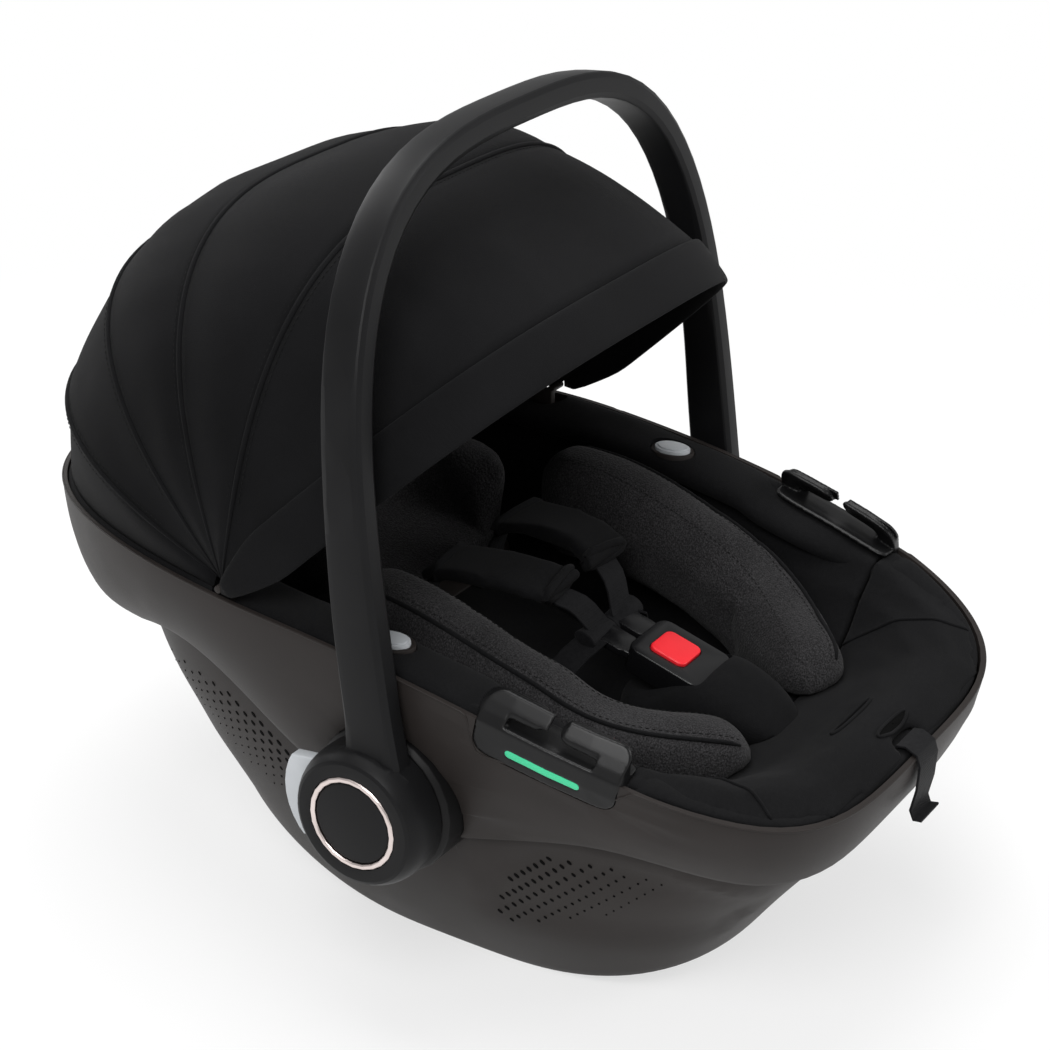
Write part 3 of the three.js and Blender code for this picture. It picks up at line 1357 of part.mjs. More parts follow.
add('outer_shell', outerShell(), PLASTIC);
add('rocker_base', rockerBase(), PLASTIC);
for (const [place, y] of Object.entries(BAR_PLACES)) {
  add(`locking_bar_${place}`, lockingBar(y), STEEL);
}
add('foam_liner', foamLiner(), FOAM);
const skin = coverSkin();
add('seat_cover', keep(skin, headSideOf(FOOT_COVER_Y)), BLACK_FABRIC);
add('foot_cover', footCover(skin), BLACK_FABRIC);

add('handle', handle(), HANDLE_PLASTIC);
addPair('handle_mount', handleMount(), PLASTIC);
addPair('hub_ring', hubRing(), ROSE_METAL);
addPair('hub_cap', hubCap(), HANDLE_PLASTIC);
addPair('handle_release_button', releaseButton(), LIGHT_PLASTIC);
addPair('frame_button_bezel', frameButtonBezel(), PLASTIC);
addPair('frame_release_button', frameButton(), LIGHT_PLASTIC);
addPair('belt_guide', beltGuide(), HANDLE_PLASTIC);
addPair('belt_guide_strip', beltStrip(), GREEN);

addPair('canopy_mount', canopyMount(), PLASTIC);
add('canopy_gore_1', rearGore(), BLACK_FABRIC);
for (let k = 0; k < BOW_ANGLES.length - 1; k += 1) {
  add(`canopy_gore_${k + 2}`, middleGore(k), BLACK_FABRIC);
}
add('canopy_gore_5', frontGore(), BLACK_FABRIC);
BOW_ANGLES.forEach((angle, k) => {
  const { half, reach } = layerOf(k);
  add(`canopy_bow_${k + 1}`, bow(half, reach, angle, BOW_WIDTH / 2, BOW_WIDTH / 2, 0), STEEL);
});
add('canopy_front_band', bow(BAND_HALF_WIDTH, CANOPY_REACH + BAND_STAND, FRONT_BOW_ANGLE,
  BAND_BEHIND, BAND_AHEAD, BAND_TAPER), BLACK_FABRIC);

add('insert_bolster_left', inSeat(mirrored(bolster())), GREY_FABRIC);
add('insert_bolster_right', inSeat(bolster()), GREY_FABRIC);
add('insert_pad', seatPad(), BLACK_FABRIC);
add('headrest_board', headrestBoard(), PLASTIC);
add('headrest_pad', headrestPad(), GREY_FABRIC);

addPair('shoulder_strap', shoulderStrap(), WEBBING);
addPair('shoulder_pad', shoulderPad(), BLACK_FABRIC);
addPair('lap_strap', lapStrap(), WEBBING);
add('crotch_pad', crotchPad(), BLACK_FABRIC);
add('crotch_strap', crotchStrap(), WEBBING);
add('buckle_body', buckleBody(), HANDLE_PLASTIC);
add('buckle_button', buckleButton(), RED);
addPair('buckle_tongue', tongue(), HANDLE_PLASTIC);
add('harness_adjuster_button', adjusterButton(), HANDLE_PLASTIC);
add('pull_strap', pullStrap(), WEBBING);

export default seat;
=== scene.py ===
"""Infant car seat: its moulded shell and rocker, folding canopy, padded insert and harness."""
import math

import bmesh
import bpy
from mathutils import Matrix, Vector, noise
from mathutils.bvhtree import BVHTree


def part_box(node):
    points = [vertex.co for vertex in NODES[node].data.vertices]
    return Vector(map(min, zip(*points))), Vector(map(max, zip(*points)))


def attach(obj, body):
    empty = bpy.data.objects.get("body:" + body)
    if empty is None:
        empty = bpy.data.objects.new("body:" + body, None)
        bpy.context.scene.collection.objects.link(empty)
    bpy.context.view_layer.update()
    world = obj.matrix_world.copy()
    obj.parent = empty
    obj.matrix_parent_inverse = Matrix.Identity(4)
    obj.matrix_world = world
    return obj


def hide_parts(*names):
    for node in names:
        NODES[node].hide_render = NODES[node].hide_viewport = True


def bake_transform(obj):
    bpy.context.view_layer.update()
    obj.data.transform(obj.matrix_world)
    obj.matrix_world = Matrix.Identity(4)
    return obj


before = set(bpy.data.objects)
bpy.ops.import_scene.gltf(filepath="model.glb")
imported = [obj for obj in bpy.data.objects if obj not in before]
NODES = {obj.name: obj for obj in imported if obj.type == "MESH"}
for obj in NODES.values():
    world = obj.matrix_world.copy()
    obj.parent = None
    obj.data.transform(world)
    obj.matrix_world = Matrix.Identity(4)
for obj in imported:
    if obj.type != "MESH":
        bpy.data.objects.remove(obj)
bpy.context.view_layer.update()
SIDES = {"left": -1, "right": 1}

# ---------------------------------------------------------------- sizes, in metres

PIVOT_Y = 0.117
PIVOT_HEIGHT = 0.254042
BOW_ANGLES = [22.8, 49.0, 74.5, 101.6]
BAND_ANGLE = 136.5
CANOPY_POWER = 3.1
CANOPY_REACH = 0.220
LAYER_PITCH = 0.0024
BAND_HALF_WIDTH = 0.191
BAND_REACH = 0.230
PANEL_BULGES = [-0.003, 0.004, 0.0055]
BOW_SINKS = [0.005, 0.001, 0.0, 0.0]
FRONT_PANEL_SAG = 0.0036
PANEL_THICKNESS = 0.0012
SLEEVE_RADIUS = 0.0019
STITCH_LENGTH = 0.0026
STITCH_PITCH = 0.0040
STITCH_RADIUS = 0.00030
SEAM_PITCH = 0.004
COVER_RIPPLE = 0.0012
RIM_MIDDLE = 0.071
RIM_HALF_WIDTH = 0.193
HEAD_END = (0.296, 2.0)         # reach from the rim's middle, and power of its outline
FOOT_END = (0.3295, 3.97)
GUIDE_Y = -0.111
EYE_RADIUS = 0.0094
PANEL_STEPS = 56
BOW_STEPS = 72
FILL_FRAMES = 20
CAST = 0.4                      # from outside the seat to its surface


def bent(value, power):
    """A value raised to a power with its sign kept, for squared-off ovals."""
    return math.copysign(abs(value) ** power, value)


def turns(count, start=0.0, closed=False):
    """Cosine and sine of even turns round a circle."""
    angles = (2 * math.pi * (k + start) / count for k in range(count + closed))
    return [(math.cos(angle), math.sin(angle)) for angle in angles]


def blend_step(value, low, high):
    """0 below the low value, 1 above the high one, and a smooth step between them."""
    share = min(1.0, max(0.0, (value - low) / (high - low)))
    return share * share * (3 - 2 * share)


def rim_height(y):
    """Height of the shell's rim line, which rises to the head end."""
    return 0.2355 + 0.154 * y - 0.4 * y * y


def rim_half_width(y):
    """Half the width of the shell across its rim."""
    reach, power = HEAD_END if y > RIM_MIDDLE else FOOT_END
    share = min(1.0, abs(y - RIM_MIDDLE) / reach)
    return RIM_HALF_WIDTH * (1 - share ** power) ** (1 / power)


def rim_outline(count=220):
    """The shell's rim from above: places a fixed distance apart, each with its way inwards."""
    path = []
    for side, along in turns(720, closed=True):
        reach, power = HEAD_END if along > 0 else FOOT_END
        path.append(Vector((
            bent(side, 2 / power) * RIM_HALF_WIDTH,
            RIM_MIDDLE + bent(along, 2 / power) * reach, 0,
        )))
    length = sum((b - a).length for a, b in zip(path, path[1:]))
    even = evened(path, length / count)[:count]
    out = []
    for k, place in enumerate(even):
        run = (even[(k + 1) % count] - even[k - 1]).normalized()
        out.append((place, Vector((-run.y, run.x, 0))))
    return out


def evened(path, pitch):
    """The same path with its points a fixed distance apart."""
    points = [Vector(p) for p in path]
    out, left = [points[0]], pitch
    for a, b in zip(points, points[1:]):
        span = (b - a).length
        at = left
        while at <= span and span > 0:
            out.append(a.lerp(b, at / span))
            at += pitch
        left = at - span
    return out


# ---------------------------------------------------------------- shader trees

class Wire:
    """One output of a shader tree. Sums written with it add their Math nodes."""

    def __init__(self, paint, socket):
        self.paint = paint
        self.socket = socket

    def sum_with(self, operation, *others):
        return self.paint.node(
            "ShaderNodeMath", {"operation": operation}, dict(enumerate((self, *others)))
        )

    def __add__(self, other):
        return self.sum_with("ADD", other)

    def __sub__(self, other):
        return self.sum_with("SUBTRACT", other)

    def __mul__(self, other):
        return self.sum_with("MULTIPLY", other)

    __radd__ = __add__


class Paint:
    """A material's tree, which starts from the piece's own Object coordinates."""

    def __init__(self, name):
        self.material = bpy.data.materials.new(name)
        self.material.use_nodes = True
        self.tree = self.material.node_tree
        self.tree.nodes.clear()
        self.place = self.node("ShaderNodeTexCoord", out="Object")

    def node(self, kind, settings=None, sockets=None, out=0):
        made = self.tree.nodes.new(kind)
        for name, value in (settings or {}).items():
            if name == "stops":
                ramp = made.color_ramp
                while len(ramp.elements) < len(value):
                    ramp.elements.new(0.5)
                for stop, (position, color) in zip(ramp.elements, value):
                    stop.position = position
                    stop.color = (*color, 1)
            else:
                setattr(made, name, value)
        for name, value in (sockets or {}).items():
            if isinstance(value, Wire):
                self.tree.links.new(value.socket, made.inputs[name])
            else:
                made.inputs[name].default_value = value
        return None if out is None else Wire(self, made.outputs[out])

    def spots(self, scale, detail=2.0, roughness=0.5, stretch=(1, 1, 1)):
        at = self.node("ShaderNodeMapping", {}, {"Vector": self.place, "Scale": stretch})
        return self.node("ShaderNodeTexNoise", {}, {
            "Vector": at, "Scale": scale, "Detail": detail, "Roughness": roughness,
        }, out="Fac")

    def cells(self, scale):
        return self.node("ShaderNodeTexVoronoi", {"feature": "F1"}, {
            "Vector": self.place, "Scale": scale,
        }, out="Distance")

    def ramp(self, value, low, high):
        return self.node("ShaderNodeMapRange", {"clamp": True}, {
            "Value": value, "From Min": low, "From Max": high,
        })

    def mix(self, share, first, second):
        sockets = {0: share, 6: first, 7: second}
        for key in (6, 7):
            if not isinstance(sockets[key], Wire):
                sockets[key] = (*sockets[key], 1)
        return self.node("ShaderNodeMix", {"data_type": "RGBA"}, sockets, out=2)

    def bump(self, height, distance):
        return self.node("ShaderNodeBump", {}, {
            "Height": height, "Distance": distance, "Strength": 1.0,
        }, out="Normal")

    def surface(self, **sockets):
        named = {key.replace("_", " "): value for key, value in sockets.items()}
        if "Base Color" in named and not isinstance(named["Base Color"], Wire):
            named["Base Color"] = (*named["Base Color"], 1)
        shader = self.node("ShaderNodeBsdfPrincipled", {}, named)
        self.node("ShaderNodeOutputMaterial", {}, {"Surface": shader}, out=None)
        return self.material


def moulded(name, color, roughness, grain, worn=0.35, specular=0.22):
    """Moulded plastic: a fine spark-eroded grain, faint flow marks and rubbed patches."""
    paint = Paint(name)
    fine = paint.cells(2600)
    broad = paint.spots(22, 3)
    rubbed = paint.ramp(paint.spots(9, 4, 0.6), 0.52, 0.74) * worn
    shade = paint.mix(
        paint.ramp(broad, 0.3, 0.7), [c * 0.9 for c in color], [c * 1.1 for c in color],
    )
    return paint.surface(
        Base_Color=paint.mix(rubbed, shade, [c * 1.35 + 0.003 for c in color]),
        Roughness=roughness + (broad - 0.5) * 0.12 - rubbed * 0.12,
        Specular_IOR_Level=specular,
        Normal=paint.bump(fine, grain),
    )


def woven(name, color, light, thread, roughness=0.9, sheen=0.02, nap=0.5):
    """Cloth: crossed threads, a nap that catches light, and soft unevenness."""
    paint = Paint(name)
    warp = paint.node("ShaderNodeTexWave", {"bands_direction": "DIAGONAL"}, {
        "Vector": paint.place, "Scale": thread, "Distortion": 1.2, "Detail": 1.0,
    }, out="Fac")
    weft = paint.cells(thread * 3.2)
    fluff = paint.spots(420, 3, 0.65)
    broad = paint.spots(14, 3)
    share = paint.ramp(fluff * nap + broad * (1 - nap), 0.38, 0.66)
    return paint.surface(
        Base_Color=paint.mix(share, color, light),
        Roughness=roughness + (fluff - 0.5) * 0.15,
        Sheen_Weight=sheen,
        Sheen_Roughness=0.45,
        Specular_IOR_Level=0.08,
        Normal=paint.bump(warp * 0.5 + weft * 0.5, 0.00022),
    )


def heathered(name, dark, pale):
    """Melange knit: flecks of two yarns in rows of small loops."""
    paint = Paint(name)
    fleck = paint.spots(900, 2, 0.7, (1, 1.6, 1))
    loop = paint.cells(620)
    broad = paint.spots(18, 2)
    share = paint.ramp(fleck + (broad - 0.5) * 0.25, 0.40, 0.64)
    return paint.surface(
        Base_Color=paint.mix(share, dark, pale),
        Roughness=0.9 + (fleck - 0.5) * 0.1,
        Sheen_Weight=0.05,
        Sheen_Roughness=0.5,
        Specular_IOR_Level=0.08,
        Normal=paint.bump(loop, 0.0005),
    )


def brushed(name, color, roughness, stretch):
    """Metal with fine lines left by a brush."""
    paint = Paint(name)
    lines = paint.spots(900, 2, 0.6, stretch)
    return paint.surface(
        Base_Color=paint.mix(paint.ramp(lines, 0.35, 0.65), [c * 0.85 for c in color], color),
        Metallic=1.0,
        Roughness=roughness + (lines - 0.5) * 0.2,
        Normal=paint.bump(lines, 0.00004),
    )


FINISHES = {
    "shell_plastic": moulded("shell plastic", (0.0200, 0.0168, 0.0156), 0.50, 0.00003, 0.35, 0.17),
    "handle_plastic": moulded("handle plastic", (0.0066, 0.0066, 0.0071), 0.42, 0.00002, 0.2, 0.14),
    # the hub mounts: the shell's plastic made much darker, painted shade of the recess round the
    # hub
    "mount_plastic": moulded(
        "hub mount plastic", (0.0052, 0.0050, 0.0052), 0.46, 0.00002, 0.1, 0.15,
    ),
    "guide_plastic": moulded("guide plastic", (0.0055, 0.0055, 0.0058), 0.32, 0.00002, 0.15),
    "buckle_plastic": moulded(
        "buckle plastic", (0.0045, 0.0045, 0.0050), 0.24, 0.00001, 0.15, 0.35,
    ),
    # painted shade: a near-black finish for the cups that stand in for the vent holes and for the
    # sheets inside the cover's slits
    "painted_shade": moulded(
        "shade inside the vents", (0.0018, 0.0018, 0.0018), 0.8, 0.00001, 0.0, 0.05,
    ),
    "steel": brushed("bar steel", (0.45, 0.45, 0.46), 0.35, (0.05, 1, 1)),
    "foam": woven("moulded foam", (0.008, 0.008, 0.008), (0.012, 0.012, 0.012), 200),
    "black_fabric": woven("black cover cloth", (0.0042, 0.0042, 0.0046), (0.0078, 0.0078, 0.0084),
                          520),
    "canopy_fabric": woven("black canopy cloth", (0.0036, 0.0036, 0.0040),
                           (0.0056, 0.0056, 0.0062), 640, 0.82, 0.02, 0.3),
    "melange_fabric": heathered("charcoal melange", (0.0100, 0.0097, 0.0102),
                                (0.036, 0.035, 0.0365)),
    "bow_plastic": woven("bow sleeve cloth", (0.003, 0.003, 0.0034), (0.005, 0.005, 0.0055), 700),
    "webbing": woven("black webbing", (0.0040, 0.0040, 0.0046), (0.0105, 0.0105, 0.0115), 380,
                     0.62, 0.04),
    "thread": woven("sewing thread", (0.007, 0.007, 0.007), (0.012, 0.012, 0.012), 1500, 0.7),
    "light_plastic": moulded("light grey plastic", (0.46, 0.48, 0.50), 0.42, 0.00002, 0.1, 0.4),
    "ring_metal": brushed("rose silver ring", (0.80, 0.70, 0.67), 0.30, (1, 0.06, 0.06)),
    "green_plastic": moulded("green marker", (0.045, 0.60, 0.30), 0.4, 0.00001, 0.1, 0.4),
    "red_plastic": moulded("red button plastic", (0.80, 0.018, 0.028), 0.32, 0.00001, 0.1, 0.4),
}


# ---------------------------------------------------------------- mesh tools

def object_of(name, mesh):
    made = bpy.data.objects.new(name, mesh)
    bpy.context.scene.collection.objects.link(made)
    return made


def from_bmesh(name, builder):
    mesh = bpy.data.meshes.new(name)
    builder.to_mesh(mesh)
    builder.free()
    return object_of(name, mesh)


def opened(shape):
    builder = bmesh.new()
    builder.from_mesh(shape.data)
    return builder


def put_back(builder, shape):
    builder.to_mesh(shape.data)
    builder.free()
    return shape


def merged(*nodes):
    """Copies of CAD solids in one bmesh, with their doubles merged."""
    builder = bmesh.new()
    for node in nodes:
        builder.from_mesh(NODES[node].data)
    bmesh.ops.remove_doubles(builder, verts=builder.verts, dist=2e-5)
    return builder


def modify(shape, kind, **settings):
    added = shape.modifiers.new(kind.title(), kind)
    for name, value in settings.items():
        setattr(added, name, value)


def settle(shape):
    """Applies a piece's modifiers to its mesh."""
    graph = bpy.context.evaluated_depsgraph_get()
    mesh = bpy.data.meshes.new_from_object(shape.evaluated_get(graph), depsgraph=graph)
    shape.modifiers.clear()
    shape.data = mesh
    return shape


def smooth(shape):
    shape.data.polygons.foreach_set("use_smooth", [True] * len(shape.data.polygons))
    return shape


def dress(shape, slot, body, replaces=(), finish=None):
    """Gives a finished piece its material, its body and the CAD nodes it stands for."""
    shape.data.materials.clear()
    shape.data.materials.append(FINISHES[finish or slot])
    if body:
        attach(shape, body)
    if replaces:
        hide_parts(*replaces)
    return shape


def search_tree(builder):
    found = BVHTree.FromBMesh(builder)
    builder.free()
    return found


def tree_of(*nodes):
    """A search tree over CAD solids, to find their surfaces."""
    return search_tree(merged(*nodes))


def mesh_tree(shape):
    return search_tree(opened(shape))


def cast_down(tree, x, y):
    return tree.ray_cast(Vector((x, y, CAST)), Vector((0, 0, -1)), CAST)


def cast_inwards(tree, side, y, z):
    return tree.ray_cast(Vector((side * CAST, y, z)), Vector((-side, 0, 0)), CAST)


def padding(shape, slot="black_fabric", body="seat", nodes=(), finish=None):
    """Dresses a stuffed piece."""
    dress(shape, slot, body, nodes, finish)


def keep_clear(shape, trees, clearance=0.0004):
    """Moves points that have come into a neighbour back to its surface."""
    for vertex in shape.data.vertices:
        for other in trees:
            near, normal, _, _ = other.find_nearest(vertex.co, 0.03)
            if near is None:
                continue
            depth = (vertex.co - near).dot(normal)
            if depth < clearance:
                vertex.co = near + normal * clearance
    return shape


def soft_form(name, nodes, voxel, relax=8, shrink=0.0):
    """A smooth closed form in the place of soft CAD solids, ready to be filled or sewn."""
    shape = from_bmesh(name, merged(*nodes))
    modify(shape, "REMESH", mode="VOXEL", voxel_size=voxel)
    modify(shape, "SMOOTH", factor=0.5, iterations=relax)
    if shrink:
        modify(shape, "DISPLACE", strength=-shrink, mid_level=0.0)
    return settle(shape)


def fill(shapes, pressure, cap):
    """Blows cushions up like stuffed cloth, and caps how far their points may move."""
    scene = bpy.context.scene
    for shape in shapes:
        cloth = shape.modifiers.new("Cloth", "CLOTH")
        cloth.settings.use_pressure = True
        cloth.settings.uniform_pressure_force = pressure
        cloth.settings.effector_weights.gravity = 0
        cloth.settings.quality = 5
        cloth.point_cache.frame_start = 1
        cloth.point_cache.frame_end = FILL_FRAMES
    for step in range(1, FILL_FRAMES + 1):
        scene.frame_set(step)
    graph = bpy.context.evaluated_depsgraph_get()
    for shape in shapes:
        filled = [v.co.copy() for v in shape.evaluated_get(graph).data.vertices]
        shape.modifiers.clear()
        for vertex, place in zip(shape.data.vertices, filled):
            way = place - vertex.co
            if way.length > cap:
                way *= cap / way.length
            vertex.co += way
    scene.frame_set(1)


def ripple(shape, height, scale, seed):
    """Soft unevenness of cloth, by noise along the normals."""
    offset = Vector((seed * 13.7, seed * 5.1, seed * 9.3))
    normals = [vertex.normal.copy() for vertex in shape.data.vertices]
    for vertex, normal in zip(shape.data.vertices, normals):
        vertex.co += normal * (noise.noise(vertex.co * scale + offset) * height)
    return shape


def subdivide(shape, levels):
    modify(shape, "SUBSURF", levels=levels, render_levels=levels)


def finer(shape, levels=1):
    subdivide(shape, levels)
    return settle(shape)


def hold_corners(shape, rounds=3, cap=0.008):
    """Moves a cage outwards so that its subdivided skin passes through its first corners."""
    corners = [vertex.co.copy() for vertex in shape.data.vertices]
    subdivide(shape, 1)
    for _ in range(rounds):
        graph = bpy.context.evaluated_depsgraph_get()
        skin = shape.evaluated_get(graph).data
        moves = [corner - skin.vertices[k].co for k, corner in enumerate(corners)]
        for vertex, corner, move in zip(shape.data.vertices, corners, moves):
            way = vertex.co + move * 0.9 - corner
            if way.length > cap:
                way *= cap / way.length
            vertex.co = corner + way
        shape.data.update()
    shape.modifiers.clear()


def refined(node, slot, body, edge=0.0006, segments=2, levels=0, sharp=32.0, finish=None,
            held=False):
    """A rigid CAD solid with rounded edges and smooth shading in place of its facets."""
    builder = merged(node)
    if not levels:
        bmesh.ops.dissolve_limit(
            builder, angle_limit=math.radians(0.6), verts=builder.verts, edges=builder.edges,
        )
    else:
        bmesh.ops.join_triangles(
            builder, faces=builder.faces, angle_face_threshold=math.radians(25),
            angle_shape_threshold=math.radians(60),
        )
        crease = builder.edges.layers.float.new("crease_edge")
        for line in builder.edges:
            if len(line.link_faces) == 2 and line.calc_face_angle(0) > math.radians(sharp):
                line[crease] = 1.0
    shape = from_bmesh(node + "_finish", builder)
    if held:
        hold_corners(shape)
    if levels:
        subdivide(shape, levels)
    if edge:
        modify(
            shape, "BEVEL", width=edge, segments=segments, limit_method="ANGLE",
            angle_limit=math.radians(sharp), harden_normals=False,
        )
    settle(shape)
    shape.data.shade_smooth()
    shape.data.set_sharp_from_angle(angle=math.radians(sharp))
    return dress(shape, slot, body, [node], finish)


def grid(name, rows, close_columns=False):
    """A skin through rows of points."""
    width = len(rows[0])
    points = [tuple(p) for row in rows for p in row]
    faces = []
    for low in range(0, (len(rows) - 1) * width, width):
        for i in range(width - (0 if close_columns else 1)):
            j, high = (i + 1) % width, low + width
            faces.append((low + i, low + j, high + j, high + i))
    mesh = bpy.data.meshes.new(name)
    mesh.from_pydata(points, [], faces)
    return object_of(name, mesh)


def capped(shape):
    """Closes a skin's open ends and turns its faces outwards."""
    builder = opened(shape)
    bmesh.ops.holes_fill(builder, edges=builder.edges)
    bmesh.ops.recalc_face_normals(builder, faces=builder.faces)
    return put_back(builder, shape)


def tube(name, path, radius, sides=8):
    """A round cord along a path, closed at both ends, of one radius or one for each point."""
    rows = []
    for k, place in enumerate(path):
        place = Vector(place)
        ahead = Vector(path[min(k + 1, len(path) - 1)]) - Vector(path[max(k - 1, 0)])
        ahead.normalize()
        across = ahead.cross(Vector((0, 0, 1)))
        if across.length < 1e-4:
            across = ahead.cross(Vector((1, 0, 0)))
        across.normalize()
        lift = across.cross(ahead).normalized()
        thick = radius[k] if isinstance(radius, list) else radius
        thick *= 0.55 if k in (0, len(path) - 1) else 1.0
        rows.append([
            place + across * (c * thick) + lift * (d * thick) for c, d in turns(sides)
        ])
    return smooth(capped(grid(name, rows, close_columns=True)))


def curved(path, steps=8):
    """A smooth curve through points."""
    points = [Vector(p) for p in path]
    points = [2 * points[0] - points[1], *points, 2 * points[-1] - points[-2]]
    out = []
    for a, b, c, d in zip(points, points[1:], points[2:], points[3:]):
        for s in range(steps):
            t = s / steps
            out.append(0.5 * (
                2 * b + (c - a) * t + (2 * a - 5 * b + 4 * c - d) * t ** 2
                + (3 * b - a - 3 * c + d) * t ** 3
            ))
    out.append(points[-2])
    return out


def joined(name, shapes):
    """Several meshes as one."""
    builder = bmesh.new()
    for shape in shapes:
        builder.from_mesh(shape.data)
        bpy.data.objects.remove(shape)
    return from_bmesh(name, builder)


# ---------------------------------------------------------------- repeats, in Geometry Nodes

def node_group(name, sizes, build):
    """A Geometry Nodes tree with named sizes, which makes a builder's instances real."""
    group = bpy.data.node_groups.new(name, "GeometryNodeTree")
    face = group.interface
    face.new_socket("Geometry", in_out="INPUT", socket_type="NodeSocketGeometry")
    for label, value in sizes.items():
        socket = face.new_socket(label, in_out="INPUT", socket_type="NodeSocketFloat")
        socket.default_value = value
    face.new_socket("Material", in_out="INPUT", socket_type="NodeSocketMaterial")
    face.new_socket("Geometry", in_out="OUTPUT", socket_type="NodeSocketGeometry")
    given = group.nodes.new("NodeGroupInput").outputs
    end = group.nodes.new("NodeGroupOutput")

    def add(kind, sockets=None, **settings):
        made = group.nodes.new(kind)
        for key, value in settings.items():
            setattr(made, key, value)
        for key, value in (sockets or {}).items():
            if isinstance(value, bpy.types.NodeSocket):
                group.links.new(value, made.inputs[key])
            else:
                made.inputs[key].default_value = value
        return made.outputs[0]

    real = add("GeometryNodeRealizeInstances", {"Geometry": build(add, given)})
    made = add("GeometryNodeSetMaterial", {"Geometry": real, "Material": given["Material"]})
    group.links.new(made, end.inputs[0])
    return group


def stitch_rods(add, given):
    """Short rods of thread a fixed pitch apart along a line."""
    line = add("GeometryNodeMeshToCurve", {"Mesh": given["Geometry"]})
    spaced = add("GeometryNodeResampleCurve", {
        "Curve": line, "Length": given["Stitch Pitch"],
    }, mode="LENGTH")
    tangent = add("GeometryNodeInputTangent")
    turn = add("FunctionNodeAlignRotationToVector", {"Vector": tangent}, axis="Z")
    half = add("ShaderNodeMath", {0: given["Stitch Length"], 1: 0.5}, operation="MULTIPLY")
    thick = given["Thread Radius"]
    return add("GeometryNodeInstanceOnPoints", {
        "Points": spaced, "Rotation": turn,
        "Instance": add("GeometryNodeMeshUVSphere", {"Segments": 6, "Rings": 4, "Radius": 1.0}),
        "Scale": add("ShaderNodeCombineXYZ", {0: thick, 1: thick, 2: half}),
    })


def hole_cups(add, given):
    """A shallow oval cup on each point, turned to its normal and its own length."""
    facing, along, share, stretch = (
        add("GeometryNodeInputNamedAttribute", {"Name": label}, data_type=kind)
        for label, kind, _ in POINT_VALUES
    )
    upright = add("FunctionNodeAlignRotationToVector", {"Vector": facing}, axis="Z")
    turned = add("FunctionNodeAlignRotationToVector", {
        "Rotation": upright, "Vector": along,
    }, axis="X", pivot_axis="Z")
    radius = add("ShaderNodeMath", {0: given["Hole Radius"], 1: share}, operation="MULTIPLY")
    length = add("ShaderNodeMath", {0: radius, 1: stretch}, operation="MULTIPLY")
    return add("GeometryNodeInstanceOnPoints", {
        "Points": given["Geometry"], "Rotation": turned,
        "Instance": add("GeometryNodeMeshCylinder", {"Vertices": 12, "Radius": 1.0, "Depth": 1.0}),
        "Scale": add("ShaderNodeCombineXYZ", {0: length, 1: radius, 2: given["Hole Depth"]}),
    })


POINT_VALUES = [
    # what each hole carries: name, kind, and its column in the list of places
    ("facing", "FLOAT_VECTOR", 1), ("along", "FLOAT_VECTOR", 2),
    ("share", "FLOAT", 3), ("stretch", "FLOAT", 4),
]
STITCHES = node_group("Stitch Row", {
    "Stitch Length": STITCH_LENGTH, "Stitch Pitch": STITCH_PITCH, "Thread Radius": STITCH_RADIUS,
}, stitch_rods)
HOLES = node_group("Vent Holes", {"Hole Radius": 0.002, "Hole Depth": 0.0006}, hole_cups)


def run_group(shape, group, finish, **sizes):
    """Runs a Geometry Nodes tree on a mesh and keeps the result as a plain mesh."""
    added = shape.modifiers.new(group.name, "NODES")
    added.node_group = group
    for item in group.interface.items_tree:
        if item.in_out != "INPUT":
            continue
        if item.name == "Material":
            added[item.identifier] = FINISHES[finish]
        elif item.name.replace(" ", "_").lower() in sizes:
            added[item.identifier] = sizes[item.name.replace(" ", "_").lower()]
    return settle(shape)


def stitched(name, paths):
    """Rows of stitches along paths."""
    points, lines = [], []
    for path in paths:
        start = len(points)
        points.extend(tuple(p) for p in path)
        lines.extend((start + k, start + k + 1) for k in range(len(path) - 1))
    mesh = bpy.data.meshes.new(name)
    mesh.from_pydata(points, lines, [])
    return smooth(run_group(object_of(name, mesh), STITCHES, "thread"))


def holes(name, places, **sizes):
    """Holes at places, each with its normal, its lengthwise direction, size and stretch: dark cups
    on the surface whose colour is painted shade, not openings.
    """
    mesh = bpy.data.meshes.new(name)
    mesh.from_pydata([tuple(place[0]) for place in places], [], [])
    for label, kind, column in POINT_VALUES:
        values = mesh.attributes.new(label, kind, "POINT").data
        for item, place in zip(values, places):
            if kind == "FLOAT":
                item.value = place[column]
            else:
                item.vector = place[column]
    return run_group(object_of(name, mesh), HOLES, "painted_shade", **sizes)


# ---------------------------------------------------------------- camera, light and ground

